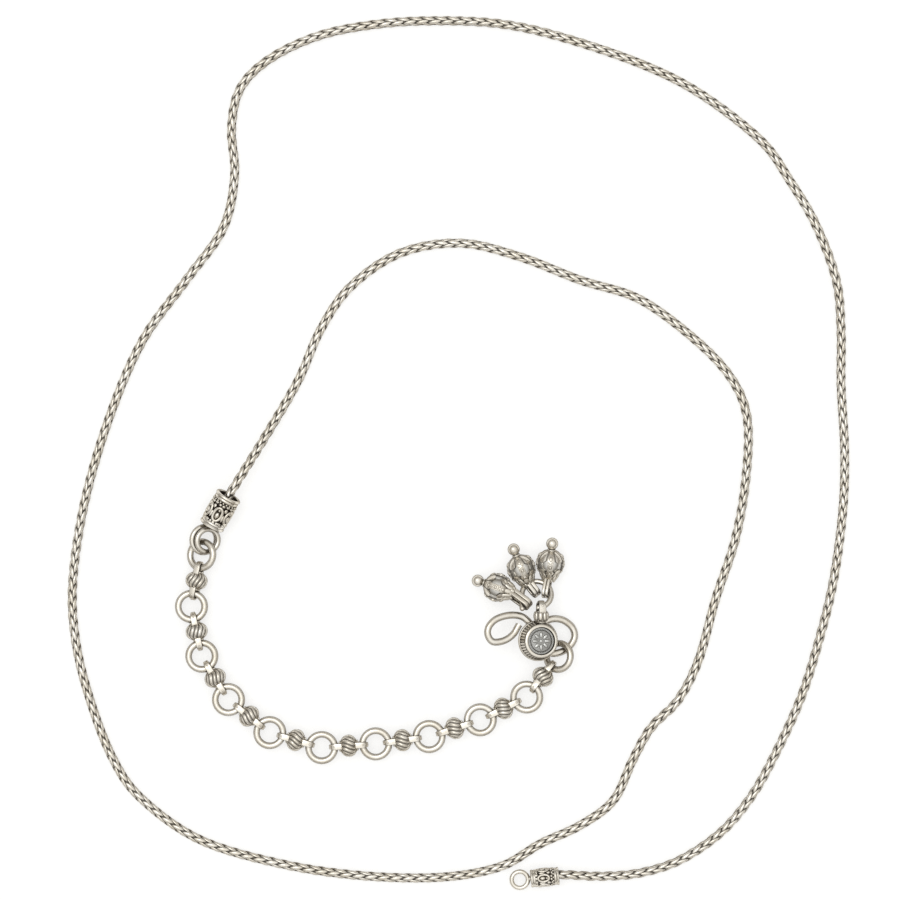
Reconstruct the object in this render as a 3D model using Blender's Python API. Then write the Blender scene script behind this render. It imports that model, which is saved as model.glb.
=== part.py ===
"""A silver waist chain, lying open in a loose spiral, as it is laid out to be seen.

One woven chain runs from a small end cap, whose end ring is free, to a big end cap.
A doubled loop on the big cap carries an extension of open rings and fluted beads, and
the last ring hangs on an S hook under a milled drum, with three bud drops beside it.
Sizes are in metres. The object lies on the plane z = 0, with +Y up the picture.
"""

import math

import bmesh
import bpy
from mathutils import Matrix, Vector

# Woven chain, as a plain round tube laid in an open spiral
SPIRAL_WIDTH = 0.1756
CHAIN_DIAMETER = 0.00215
CHAIN_END_RUN = 0.030
RUN_GAP = 0.0003
POINTS_PER_RUN = 80
# Points of the route, x and y, in any unit: the spiral's width sets their scale
ROUTE = [
    (19.4, -96.4), (23.4, -95.8), (32.2, -96.2), (41.3, -95.5), (50.4, -92.6), (59.5, -86.5),
    (66.2, -78.8), (71.5, -69.7), (77.8, -56.1), (82.1, -42.5), (85.4, -28.8), (87.5, -12.9),
    (87.9, 0.7), (87.1, 15.5), (87.1, 28.0), (86.0, 39.4), (81.4, 51.9), (75.4, 62.1),
    (68.8, 71.2), (54.9, 81.9), (41.3, 88.7), (23.1, 94.8), (9.5, 97.7), (-4.2, 98.4),
    (-17.8, 97.7), (-31.4, 95.1), (-42.8, 89.8), (-49.6, 83.0), (-51.6, 73.9), (-50.9, 63.2),
    (-53.5, 51.2), (-61.9, 39.4), (-71.8, 25.7), (-79.2, 8.7), (-84.9, -10.6), (-87.7, -28.8),
    (-87.1, -42.5), (-83.8, -56.1), (-78.5, -69.7), (-71.9, -78.8), (-58.7, -88.0),
    (-40.5, -93.4), (-22.3, -96.1), (-4.2, -96.5), (9.5, -94.1), (18.6, -88.9), (27.7, -84.7),
    (35.3, -79.0), (39.7, -69.8), (43.9, -62.4), (50.0, -56.2), (54.7, -47.0), (58.5, -33.4),
    (63.0, -19.7), (65.4, -6.1), (65.8, 7.5), (62.4, 16.6), (54.4, 25.4), (41.3, 35.0),
    (27.7, 39.4), (14.0, 44.7), (0.4, 47.8), (-13.3, 45.5), (-24.6, 37.8), (-31.4, 28.0),
    (-36.4, 16.6), (-44.3, 3.0), (-51.3, -8.4), (-53.7, -12.5),
]

# End caps: turned cups with double rims and raised ovals
CAP_CHAIN_GAP = 0.0003
CAP_SEAT_DEPTH = 0.0035
SMALL_CAP_LENGTH = 0.0065
SMALL_CAP_RADIUS = 0.00205
BIG_CAP_LENGTH = 0.0083
BIG_CAP_RADIUS = 0.0030
BIG_CAP_PITCH = math.radians(12)
CAP_OVAL_HEIGHT = 0.00016

# Ring soldered to the small cap
END_RING_MEAN_RADIUS = 0.00185
END_RING_WIRE = 0.00102
END_RING_NECK = 0.0006

# Doubled loop soldered to the big cap
LOOP_MEAN_RADIUS = 0.0026
LOOP_WIRE = 0.0012
LOOP_NECK = 0.00080
LOOP_TURN = math.radians(16)
LOOP_ROLL = math.radians(28)
SECOND_LOOP_GROWTH = 0.0004
SECOND_LOOP_SHIFT = 0.00045
SECOND_LOOP_DROP = 0.00095

# Extension: open rings held by fluted beads
RING_MEAN_RADIUS = 0.0030
RING_WIRE = 0.00154
BEAD_RADIUS = 0.00245
BEAD_HALF_LENGTH = 0.0021
BEAD_END_SHARE = 0.90
BEAD_FLUTES = 16
BEAD_TWIST = math.radians(12)
EYE_INNER_RADIUS = 0.00110
EYE_THICKNESS = 0.00040
EYE_WIDTH = 0.0014
EYE_NECK = 0.000875
FIRST_RING_HEADING = math.radians(-112.9)
FIRST_RING_SLACK = 0.0007
FIRST_RING_ROLL = math.radians(28)
FIRST_RING_LIFT = 0.00015
FIRST_BEAD_ROLL = math.radians(19)
LAST_BEAD_ROLL = math.radians(-13.4)
LAST_BEAD_DIP = math.radians(10.7)
LAST_RING_SLOPE = math.radians(29.4)
LAST_RING_HEADING = math.radians(-16)
LAST_RING_SHIFT = -0.00015
# Heading from each ring to the next, and its slack as a share of the play in the two eyes
RING_STEPS = [
    (-101.2, 0.0),
    (-78.2, -0.63),
    (-58.5, -0.55),
    (-38.6, 0.08),
    (-16.1, 0.50),
    (3.9, 0.52),
    (7.8, 0.47),
    (18.1, 0.40),
    (26.2, -0.31),
    (51.2, -0.2),
]

# S hook: its wire follows shares of its span and its depth, from the drum's axis
HOOK_WIRE = 0.0016
HOOK_SPAN = 0.0207
HOOK_DEPTH = 0.0087
HOOK_TILT = math.radians(15)
HOOK_FLOOR_GAP = 0.00015
HOOK_LEFT_OF_LAST_RING = 0.00508
HOOK_ABOVE_LAST_RING = 0.00370
HOOK_PATH = [
    (-0.230, 0.315), (-0.262, 0.190), (-0.330, 0.055), (-0.420, -0.023), (-0.510, -0.011),
    (-0.560, 0.172), (-0.545, 0.380), (-0.466, 0.563), (-0.330, 0.660), (-0.195, 0.644),
    (-0.104, 0.510), (-0.024, 0.253), (0.043, -0.011), (0.100, -0.218), (0.155, -0.333),
    (0.235, -0.337), (0.334, -0.246), (0.408, -0.063), (0.432, 0.133), (0.398, 0.346),
    (0.308, 0.510), (0.213, 0.560), (0.133, 0.530), (0.066, 0.440),
]
HOOK_POINTS = 40

# Drum with a milled side and a rimmed recess for the medallion
DRUM_BASE_RADIUS = 0.00465
DRUM_TOP_RADIUS = 0.00372
DRUM_HEIGHT = 0.0034
DRUM_LIFT = 0.0005
DRUM_SIDES = 28
MEDALLION_RADIUS = 0.0030
MEDALLION_HEIGHT = 0.0005
MEDALLION_GAP = 0.0001
RECESS_DEPTH = 0.0008

# Knob on the drum's far side, with the eye that holds the drop ring
KNOB_RADIUS = 0.00160
KNOB_HALF_LENGTH = 0.00138
KNOB_SQUARENESS = 3.4
KNOB_TIP_SHARE = 0.88
KNOB_REACH = 0.0056
KNOB_NECK = 0.0020
KNOB_LIFT = 0.0017
KNOB_SHIFT = 0.00035
KNOB_EYE_WIDTH = 0.0017
KNOB_EYE_PLAY = 0.0004

# Open ring that carries the drops, with one end left long
DROP_RING_MEAN_RADIUS = 0.00333
DROP_RING_WIRE = 0.00122
DROP_RING_SLOPE = math.radians(28)
DROP_RING_HOLD = 0.915
DROP_RING_SHIFT = -0.0010
DROP_RING_TAIL = 0.0040
DROP_RING_TURN = math.radians(272)
DROP_RING_POINTS = 26

# Bud drops: a smooth core in petal caps and four straps, a ball tip and a strap bail
DROP_CORE_RADIUS = 0.0027
DROP_CAP_RADIUS = 0.0031
DROP_HALF_LENGTH = 0.0031
DROP_COLLAR = 0.0005
DROP_TIP_RADIUS = 0.00138
DROP_TIP_REACH = 0.0047
BAIL_INNER_RADIUS = 0.00092
BAIL_ROOT = 0.0003
BAIL_THICKNESS = 0.00065
# Name, body centre from the drop ring's centre in shares of its mean radius, the body's
# heading in degrees, where its bail crosses the ring's wire as a share of that wire from
# its long end, how far the body's end lies below that wire, how far the bail's bend lies
# past it, and the bail's width
DROPS = [
    ("bud_drop_left", (-2.68, 0.48), -18.8, 0.13, 0.000988, 0.00087, 0.0020),
    ("bud_drop_middle", (-1.04, 1.78), -68, 0.37, -0.000003, 0.00202, 0.0018),
    ("bud_drop_right", (0.94, 2.15), -95, 0.60, 0.000749, 0.00143, 0.0015),
]

SILVER = (0.80, 0.78, 0.74)
GREY_SILVER = (0.52, 0.51, 0.48)

CHAIN_RADIUS = CHAIN_DIAMETER / 2
CHAIN_SIDES = 8
CHAIN_HEIGHT = CHAIN_RADIUS * math.cos(math.pi / CHAIN_SIDES)
RING_SEGMENTS = 14
WIRE_SIDES = 6
EYE_REACH = BEAD_HALF_LENGTH + EYE_NECK
EYE_PLAY = EYE_INNER_RADIUS - RING_WIRE / 2


def clear_scene():
    for obj in list(bpy.data.objects):
        bpy.data.objects.remove(obj)


def silver(name, colour, roughness):
    material = bpy.data.materials.new(name)
    material.use_nodes = True
    shader = material.node_tree.nodes["Principled BSDF"]
    shader.inputs["Base Color"].default_value = (*colour, 1)
    shader.inputs["Metallic"].default_value = 1
    shader.inputs["Roughness"].default_value = roughness
    return material


def heading_vector(angle):
    return Vector((math.cos(angle), math.sin(angle), 0))


def placed(position, heading=0.0, pitch=0.0, roll=0.0):
    """The matrix that lays local +X along a heading, nose up by the pitch, turned by the roll."""
    turn = Matrix.Rotation(heading, 4, "Z") @ Matrix.Rotation(-pitch, 4, "Y")
    return Matrix.Translation(position) @ turn @ Matrix.Rotation(roll, 4, "X")


def smooth_curve(points, count, closed=False):
    """Evenly spaced points on the Catmull-Rom curve through the given points."""
    fine = []
    size = len(points)
    spans = size if closed else size - 1
    for i in range(spans):
        if closed:
            a, b, c, d = (points[(i + k) % size] for k in (-1, 0, 1, 2))
        else:
            a, b, c, d = (points[min(max(i + k, 0), size - 1)] for k in (-1, 0, 1, 2))
        for step in range(12):
            t = step / 12
            fine.append(
                0.5 * (2 * b + (c - a) * t + (2 * a - 5 * b + 4 * c - d) * t**2
                       + (3 * b - a - 3 * c + d) * t**3)
            )
    fine.append(points[0] if closed else points[-1])
    return spaced(fine, count)


def spaced(points, count):
    """The same line, read again at a number of points evenly apart."""
    runs = [0.0]
    for first, second in zip(points, points[1:]):
        runs.append(runs[-1] + (second - first).length)
    result = []
    at = 0
    for i in range(count):
        target = runs[-1] * i / (count - 1)
        while at < len(points) - 2 and runs[at + 1] < target:
            at += 1
        share = (target - runs[at]) / (runs[at + 1] - runs[at])
        result.append(points[at].lerp(points[at + 1], min(share, 1)))
    return result


def wire(name, points, diameter, resolution=1, closed=False, tilt=0.0):
    """A round wire along the points, as a curve with a bevel."""
    curve = bpy.data.curves.new(name, "CURVE")
    curve.dimensions = "3D"
    curve.twist_mode = "Z_UP"
    curve.bevel_depth = diameter / 2
    curve.bevel_resolution = resolution
    curve.use_fill_caps = not closed
    spline = curve.splines.new("POLY")
    spline.points.add(len(points) - 1)
    for point, place in zip(spline.points, points):
        point.co = (*place, 1)
        point.tilt = tilt
    spline.use_cyclic_u = closed
    obj = bpy.data.objects.new(name, curve)
    bpy.context.collection.objects.link(obj)
    return obj


def torus(mean_radius, wire_radius):
    """A ring of round wire in the local XY plane."""
    mesh = bmesh.new()
    rows = []
    for i in range(RING_SEGMENTS):
        around = 2 * math.pi * i / RING_SEGMENTS
        row = []
        for j in range(WIRE_SIDES):
            section = 2 * math.pi * (j + 0.5) / WIRE_SIDES
            reach = mean_radius + wire_radius * math.cos(section)
            height = wire_radius * math.sin(section)
            row.append(mesh.verts.new((reach * math.cos(around), reach * math.sin(around), height)))
        rows.append(row)
    for i, row in enumerate(rows):
        following = rows[(i + 1) % RING_SEGMENTS]
        for j in range(WIRE_SIDES):
            k = (j + 1) % WIRE_SIDES
            mesh.faces.new((row[j], following[j], following[k], row[k]))
    return mesh


def turned(profile, sides, relief=None, twist=0.0):
    """A body turned round local +X from (along, radius) pairs that start and end on the axis.

    relief(along, angle) raises the surface, and twist turns each row with its place."""
    mesh = bmesh.new()
    first, last = profile[0][0], profile[-1][0]
    rows = []
    for along, radius in profile[1:-1]:
        turn = twist * math.sin(math.pi * along / (abs(last - first) + abs(first + last)))
        row = []
        for i in range(sides):
            angle = 2 * math.pi * i / sides
            reach = radius + (relief(along, angle) if relief else 0)
            y = reach * math.sin(angle + turn)
            z = reach * math.cos(angle + turn)
            row.append(mesh.verts.new((along, y, z)))
        rows.append(row)
    for row, following in zip(rows, rows[1:]):
        for i in range(sides):
            k = (i + 1) % sides
            mesh.faces.new((row[i], row[k], following[k], following[i]))
    for end, row in ((first, rows[0]), (last, rows[-1])):
        pole = mesh.verts.new((end, 0, 0))
        for i in range(sides):
            mesh.faces.new((pole, row[i], row[(i + 1) % sides]))
    return mesh


def strap_eye(root, reach, inner_radius, thickness, width):
    """A strap that leaves local x = root, bends round x = reach and comes back below."""
    outer_radius = inner_radius + thickness
    outline = []
    steps = 6
    for radius, order in ((outer_radius, range(steps + 1)), (inner_radius, range(steps, -1, -1))):
        corner = radius / math.cos(math.pi / 2 / steps)
        arc = [math.pi / 2 - math.pi * i / steps for i in order]
        bend = [(reach + corner * math.cos(a), corner * math.sin(a)) for a in arc]
        ends = (root, corner) if radius == outer_radius else (root, -corner)
        back = (root, -corner) if radius == outer_radius else (root, corner)
        outline += [ends] + bend + [back]
    mesh = bmesh.new()
    near = [mesh.verts.new((x, -width / 2, z)) for x, z in outline]
    far = [mesh.verts.new((x, width / 2, z)) for x, z in outline]
    mesh.faces.new(near)
    mesh.faces.new(far[::-1])
    for i in range(len(outline)):
        k = (i + 1) % len(outline)
        mesh.faces.new((near[k], near[i], far[i], far[k]))
    return mesh


def helper(shape, matrix=None):
    """A hidden object made from a bmesh or a curve object, to be fused into a piece."""
    if isinstance(shape, bmesh.types.BMesh):
        bmesh.ops.recalc_face_normals(shape, faces=shape.faces)
        data = bpy.data.meshes.new("helper")
        shape.to_mesh(data)
        shape.free()
    else:
        data = as_mesh(shape)
        bpy.data.objects.remove(shape)
    obj = bpy.data.objects.new("helper", data)
    obj.matrix_world = matrix or Matrix()
    bpy.context.collection.objects.link(obj)
    return obj


def as_mesh(obj):
    """The object's shape as Blender shows it, as a new mesh with its caps closed."""
    bpy.context.view_layer.update()
    graph = bpy.context.evaluated_depsgraph_get()
    data = bpy.data.meshes.new_from_object(obj.evaluated_get(graph))
    mesh = bmesh.new()
    mesh.from_mesh(data)
    bmesh.ops.remove_doubles(mesh, verts=mesh.verts, dist=1e-7)
    mesh.to_mesh(data)
    mesh.free()
    return data


def fused(parts):
    """One mesh from overlapping helpers, by Boolean unions onto the first."""
    body = parts[0]
    for part in parts[1:]:
        union = body.modifiers.new("union", "BOOLEAN")
        union.operation = "UNION"
        union.solver = "EXACT"
        union.object = part
    mesh = as_mesh(body)
    mesh.transform(body.matrix_world)
    for part in parts:
        bpy.data.objects.remove(part)
    return mesh


def piece(name, data, matrix=None):
    """A finished, named object with its own silver."""
    obj = bpy.data.objects.new(name, data)
    bpy.context.collection.objects.link(obj)
    finish(obj)
    obj.matrix_world = matrix or Matrix()
    return obj


def finish(obj, colour=SILVER, roughness=0.25):
    while len(obj.material_slots) < 1:
        obj.data.materials.append(None)
    obj.material_slots[0].link = "OBJECT"
    obj.material_slots[0].material = silver(obj.name + "_silver", colour, roughness)


def plain(shape):
    """A bmesh as a mesh with its faces pointing outwards."""
    bmesh.ops.recalc_face_normals(shape, faces=shape.faces)
    data = bpy.data.meshes.new("plain")
    shape.to_mesh(data)
    shape.free()
    return data


def chain_route():
    """The whole chain's centre line: on the floor, and up into a cap at each end."""
    scale = SPIRAL_WIDTH / (max(x for x, _ in ROUTE) - min(x for x, _ in ROUTE))
    flat = [Vector((x * scale, y * scale, 0)) for x, y in ROUTE]
    line = smooth_curve(flat, 2 * POINTS_PER_RUN)
    step = (line[1] - line[0]).length
    small_rise = SMALL_CAP_RADIUS - CHAIN_HEIGHT
    big_rise = big_cap_end_height() + cap_seat(BIG_CAP_LENGTH) * math.sin(BIG_CAP_PITCH) - CHAIN_HEIGHT
    for i, point in enumerate(line):
        near = min(i * step / CHAIN_END_RUN, 1)
        far = min((len(line) - 1 - i) * step / CHAIN_END_RUN, 1)
        point.z = CHAIN_HEIGHT + small_rise * settle(near)
        point.z += big_rise * settle(far) + CHAIN_END_RUN * math.tan(BIG_CAP_PITCH) * lean(far)
    return line


def settle(share):
    """1 at a cap, 0 where the chain lies on the floor, level at both."""
    return 1 - 3 * share**2 + 2 * share**3


def lean(share):
    """The rise that a chain keeps as it leaves a tilted cap, per unit of slope and run."""
    return share - 2 * share**2 + share**3


def cap_seat(length):
    """How far the chain's end lies from a cap's closed end."""
    return length - CAP_SEAT_DEPTH


def big_cap_end_height():
    return BIG_CAP_RADIUS * math.cos(BIG_CAP_PITCH)


def small_cap_frame():
    route = chain_route()
    direction = route[1] - route[0]
    heading = math.atan2(direction.y, direction.x)
    end = route[0] - cap_seat(SMALL_CAP_LENGTH) * heading_vector(heading)
    end.z = SMALL_CAP_RADIUS
    return end, heading


def big_cap_frame():
    route = chain_route()
    direction = route[-2] - route[-1]
    heading = math.atan2(direction.y, direction.x)
    seat = cap_seat(BIG_CAP_LENGTH) * math.cos(BIG_CAP_PITCH)
    end = route[-1] - seat * heading_vector(heading)
    end.z = big_cap_end_height()
    return end, heading


def cap_body(length, radius, ovals):
    """A cup turned along +X: closed at 0, open at its length, with rims and raised ovals."""
    mouth = 0.76 * radius
    bore = CHAIN_RADIUS + CAP_CHAIN_GAP
    # Columns: share of the length, share of the radius
    outside = [
        (0.00, 0.86), (0.03, 1.00), (0.10, 1.00), (0.14, 0.90), (0.19, 0.95), (0.24, 0.90),
        (0.36, 0.91), (0.50, 0.93), (0.64, 0.91), (0.76, 0.90), (0.81, 0.95), (0.86, 0.90),
        (0.90, 1.00), (0.97, 1.00), (1.00, 0.92),
    ]
    profile = [(0, 0)] + [(length * along, radius * reach) for along, reach in outside]
    profile += [(length, mouth), (0.80 * length, max(0.9 * mouth, bore + 0.1 * radius))]
    floor = cap_seat(length) - CAP_CHAIN_GAP
    profile += [(floor + 0.3 * CAP_SEAT_DEPTH, bore), (floor, bore), (floor, 0)]

    def relief(along, angle):
        share = along / length
        if share < 0.3 or share > 0.7:
            return 0
        across = (angle * ovals / (2 * math.pi) + 0.5) % 1 - 0.5
        return CAP_OVAL_HEIGHT if abs(across) < 0.3 else 0

    outer_rows = len(outside) + 1
    body = turned(profile, 4 * ovals)
    rows = list(body.verts)[: (outer_rows - 1) * 4 * ovals]
    for vert in rows:
        angle = math.atan2(vert.co.y, vert.co.z) % (2 * math.pi)
        reach = math.hypot(vert.co.y, vert.co.z)
        grown = (reach + relief(vert.co.x, angle)) / reach
        vert.co.y *= grown
        vert.co.z *= grown
    return body


def make_chain():
    line = chain_route()
    half = len(line) // 2
    outer = spaced(line[: half + 1], POINTS_PER_RUN)
    inner = spaced(line[half:], POINTS_PER_RUN)
    pull = RUN_GAP / 2 / (outer[-1] - outer[-2]).length
    outer[-1] = outer[-1].lerp(outer[-2], pull)
    inner[0] = inner[0].lerp(inner[1], pull)
    flat_side = math.pi / CHAIN_SIDES
    for name, points in (("chain_outer_run", outer), ("chain_inner_run", inner)):
        finish(wire(name, points, CHAIN_DIAMETER, 2, tilt=flat_side), roughness=0.35)


def make_small_cap():
    end, heading = small_cap_frame()
    frame = placed(end, heading)
    reach = END_RING_MEAN_RADIUS + END_RING_NECK
    ring = torus(END_RING_MEAN_RADIUS, END_RING_WIRE / 2)
    neck_radius = END_RING_WIRE / 2
    neck = turned(
        [(-END_RING_NECK, 0), (-END_RING_NECK, neck_radius), (0.1 * SMALL_CAP_LENGTH, neck_radius),
         (0.1 * SMALL_CAP_LENGTH, 0)], 8)
    parts = [
        helper(cap_body(SMALL_CAP_LENGTH, SMALL_CAP_RADIUS, 5), frame),
        helper(neck, frame),
        helper(ring, frame @ Matrix.Translation((-reach, 0, 0))),
    ]
    piece("small_end_cap", fused(parts))


def loop_frame():
    """The doubled loop's upper turn: its centre and its heading away from the cap."""
    end, heading = big_cap_frame()
    away = heading + math.pi + LOOP_TURN
    return end + (LOOP_MEAN_RADIUS + LOOP_NECK) * heading_vector(away), away


def make_big_cap():
    end, heading = big_cap_frame()
    centre, away = loop_frame()
    upper = placed(centre, away, 0, -LOOP_ROLL)
    lower = upper @ Matrix.Translation((0, -SECOND_LOOP_SHIFT, -SECOND_LOOP_DROP))
    neck_radius = LOOP_WIRE / 2
    neck = turned(
        [(-0.1 * BIG_CAP_LENGTH, 0), (-0.1 * BIG_CAP_LENGTH, neck_radius),
         (LOOP_NECK, neck_radius), (LOOP_NECK, 0)], 8)
    parts = [
        helper(cap_body(BIG_CAP_LENGTH, BIG_CAP_RADIUS, 6), placed(end, heading, BIG_CAP_PITCH)),
        helper(neck, placed(end, away)),
        helper(torus(LOOP_MEAN_RADIUS, LOOP_WIRE / 2), upper),
        helper(torus(LOOP_MEAN_RADIUS + SECOND_LOOP_GROWTH, LOOP_WIRE / 2), lower),
    ]
    piece("big_end_cap", fused(parts))


def ring_places():
    """Each ring's centre, on the floor plane, and the heading to the next."""
    centre = loop_frame()[0].copy()
    crossing = LOOP_WIRE / 2 + RING_WIRE / 2 + FIRST_RING_SLACK
    centre += (LOOP_MEAN_RADIUS + RING_MEAN_RADIUS - crossing) * heading_vector(FIRST_RING_HEADING)
    centre.z = BEAD_RADIUS
    centres = [centre]
    headings = []
    for degrees, slack in RING_STEPS:
        heading = math.radians(degrees)
        step = 2 * (EYE_REACH + RING_MEAN_RADIUS + slack * EYE_PLAY)
        centre = centre + step * heading_vector(heading)
        centres.append(centre)
        headings.append(heading)
    return centres, headings


def make_extension():
    centres, headings = ring_places()
    ring = plain(torus(RING_MEAN_RADIUS, RING_WIRE / 2))
    bead = bead_mesh()
    last = len(centres) - 1
    for i, centre in enumerate(centres):
        name = f"link_ring_{i + 1:02d}"
        if i == last:
            rise = RING_WIRE / 2 + RING_MEAN_RADIUS * math.sin(LAST_RING_SLOPE) + HOOK_FLOOR_GAP
            lifted = Vector((centre.x + LAST_RING_SHIFT, centre.y, rise))
            piece(name, ring, placed(lifted, LAST_RING_HEADING, LAST_RING_SLOPE))
        elif i == last - 1:
            rise = EYE_REACH * math.sin(LAST_BEAD_DIP)
            lifted = centre + Vector((0, 0, rise / 2))
            pitch = math.asin(rise / 2 / RING_MEAN_RADIUS)
            piece(name, ring, placed(lifted, headings[i], pitch))
        elif i == 0:
            lifted = centre + Vector((0, 0, FIRST_RING_LIFT))
            piece(name, ring, placed(lifted, headings[i], 0, FIRST_RING_ROLL))
        else:
            piece(name, ring, placed(centre, headings[i]))
    for i, heading in enumerate(headings):
        middle = (centres[i] + centres[i + 1]) / 2
        middle.z = BEAD_RADIUS
        roll = {0: FIRST_BEAD_ROLL, last - 1: LAST_BEAD_ROLL}.get(i, 0)
        dip = LAST_BEAD_DIP if i == last - 1 else 0
        piece(f"fluted_bead_{i + 1:02d}", bead, placed(middle, heading, -dip, roll))


def bead_mesh():
    """A melon bead along +X with a strap eye soldered on each end."""
    flat = BEAD_END_SHARE * BEAD_HALF_LENGTH
    profile = [(-flat, 0)]
    rows = 6
    for i in range(1, rows):
        angle = math.pi * i / rows
        profile.append((-BEAD_HALF_LENGTH * math.cos(angle), BEAD_RADIUS * math.sin(angle)))
    profile.append((flat, 0))
    root = 0.4 * BEAD_HALF_LENGTH
    eye = (root, EYE_REACH, EYE_INNER_RADIUS, EYE_THICKNESS, EYE_WIDTH)
    parts = [
        helper(turned(profile, BEAD_FLUTES, twist=BEAD_TWIST)),
        helper(strap_eye(*eye)),
        helper(strap_eye(*eye), Matrix.Rotation(math.pi, 4, "Z")),
    ]
    return fused(parts)


def hook_frame():
    """The hook's plane under the drum's axis: local +X falls to the right by the tilt."""
    last = ring_places()[0][-1]
    reach = max(along for along, _ in HOOK_PATH) * HOOK_SPAN
    height = HOOK_WIRE / 2 + reach * math.sin(HOOK_TILT) + HOOK_FLOOR_GAP
    place = Vector((last.x - HOOK_LEFT_OF_LAST_RING, last.y + HOOK_ABOVE_LAST_RING, height))
    return Matrix.Translation(place) @ Matrix.Rotation(HOOK_TILT, 4, "Y")


def drum_body():
    """The drum, turned about local +X: foot rim, sloping milled side, top rim and recess."""
    wall = DRUM_TOP_RADIUS - MEDALLION_RADIUS - MEDALLION_GAP
    floor = DRUM_HEIGHT - RECESS_DEPTH
    profile = [
        (0, 0),
        (0, 0.96 * DRUM_BASE_RADIUS),
        (0.04 * DRUM_HEIGHT, DRUM_BASE_RADIUS),
        (0.18 * DRUM_HEIGHT, DRUM_BASE_RADIUS),
        (0.24 * DRUM_HEIGHT, 0.94 * DRUM_BASE_RADIUS),
        (0.84 * DRUM_HEIGHT, 0.98 * DRUM_TOP_RADIUS),
        (0.88 * DRUM_HEIGHT, 1.02 * DRUM_TOP_RADIUS),
        (0.96 * DRUM_HEIGHT, 1.02 * DRUM_TOP_RADIUS),
        (DRUM_HEIGHT, DRUM_TOP_RADIUS - 0.3 * wall),
        (DRUM_HEIGHT, DRUM_TOP_RADIUS - wall),
        (floor, DRUM_TOP_RADIUS - wall),
        (floor, 0),
    ]
    return turned(profile, DRUM_SIDES)


def knob_body():
    """A full, squarish bud about local 0, along +X, with a neck that runs back into the drum."""
    neck = 0.5 * KNOB_RADIUS
    profile = [(-KNOB_NECK, 0), (-KNOB_NECK, neck)]
    for share in (-0.98, -0.86, -0.5, 0, 0.5, 0.78):
        radius = KNOB_RADIUS * (1 - abs(share) ** KNOB_SQUARENESS) ** (1 / KNOB_SQUARENESS)
        profile.append((share * KNOB_HALF_LENGTH, radius))
    profile.append((KNOB_TIP_SHARE * KNOB_HALF_LENGTH, 0.5 * KNOB_RADIUS))
    profile.append((KNOB_TIP_SHARE * KNOB_HALF_LENGTH, 0))
    return turned(profile, 12)


def knob_places():
    """The knob's height over the hook, and how far out its eye holds the drop ring."""
    wire_seat = DROP_RING_WIRE / 2 + CAP_CHAIN_GAP / 2
    return DRUM_LIFT + KNOB_LIFT, KNOB_REACH + KNOB_HALF_LENGTH + wire_seat


def make_hook_drum():
    frame = hook_frame()
    path = [Vector((x * HOOK_SPAN, y * HOOK_DEPTH, 0)) for x, y in HOOK_PATH]
    path = smooth_curve(path, HOOK_POINTS)
    upright = Matrix.Rotation(-math.pi / 2, 4, "Y")
    height, reach = knob_places()
    north = Matrix.Translation((KNOB_SHIFT, 0, height)) @ Matrix.Rotation(math.pi / 2, 4, "Z")
    eye = strap_eye(KNOB_REACH, reach, DROP_RING_WIRE / 2 + KNOB_EYE_PLAY, EYE_THICKNESS,
                    KNOB_EYE_WIDTH)
    parts = [
        helper(drum_body(), frame @ Matrix.Translation((0, 0, DRUM_LIFT)) @ upright),
        helper(wire("hook_wire", path, HOOK_WIRE), frame),
        helper(knob_body(), frame @ north @ Matrix.Translation((KNOB_REACH, 0, 0))),
        helper(eye, frame @ north),
    ]
    piece("hook_drum", fused(parts))


def make_medallion():
    """A disc with a raised eight-petal rosette, set in the drum's recess."""
    low = 0.6 * MEDALLION_HEIGHT
    profile = [
        (0, 0), (0, MEDALLION_RADIUS), (low, MEDALLION_RADIUS), (low, 0.86 * MEDALLION_RADIUS),
        (MEDALLION_HEIGHT, 0.60 * MEDALLION_RADIUS), (low, 0.26 * MEDALLION_RADIUS),
        (MEDALLION_HEIGHT, 0.16 * MEDALLION_RADIUS), (MEDALLION_HEIGHT, 0),
    ]
    disc = turned(profile, 32)
    for vert in disc.verts:
        reach = math.hypot(vert.co.y, vert.co.z)
        angle = math.atan2(vert.co.y, vert.co.z)
        if 0.5 * MEDALLION_RADIUS < reach < 0.7 * MEDALLION_RADIUS:
            vert.co.x -= (MEDALLION_HEIGHT - low) * (0.5 - 0.5 * math.cos(8 * angle))
    seat = DRUM_LIFT + DRUM_HEIGHT - RECESS_DEPTH + MEDALLION_GAP
    upright = Matrix.Rotation(-math.pi / 2, 4, "Y")
    frame = hook_frame() @ Matrix.Translation((0, 0, seat)) @ upright
    finish(piece("medallion", plain(disc), frame), GREY_SILVER, 0.4)


def drop_ring_frame():
    """The drop ring's centre, held by the knob's eye and falling away from it."""
    height, reach = knob_places()
    held = hook_frame() @ Vector((KNOB_SHIFT, reach, height))
    centre = held + Vector((
        DROP_RING_SHIFT,
        DROP_RING_HOLD * DROP_RING_MEAN_RADIUS * math.cos(DROP_RING_SLOPE),
        -DROP_RING_HOLD * DROP_RING_MEAN_RADIUS * math.sin(DROP_RING_SLOPE),
    ))
    return Matrix.Translation(centre) @ Matrix.Rotation(-DROP_RING_SLOPE, 4, "X")


def drop_ring_path(count):
    """The drop ring's wire from its long end, evenly spaced."""
    frame = drop_ring_frame()
    radius = DROP_RING_MEAN_RADIUS
    line = [Vector((-0.98 * radius, -DROP_RING_TAIL, 0)), Vector((-radius, -0.55 * DROP_RING_TAIL, 0))]
    for i in range(DROP_RING_POINTS + 1):
        angle = math.pi - DROP_RING_TURN * i / DROP_RING_POINTS
        line.append(radius * heading_vector(angle))
    return [frame @ point for point in smooth_curve(line, count)]


def make_drop_ring():
    finish(wire("drop_ring", drop_ring_path(DROP_RING_POINTS), DROP_RING_WIRE))


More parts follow.
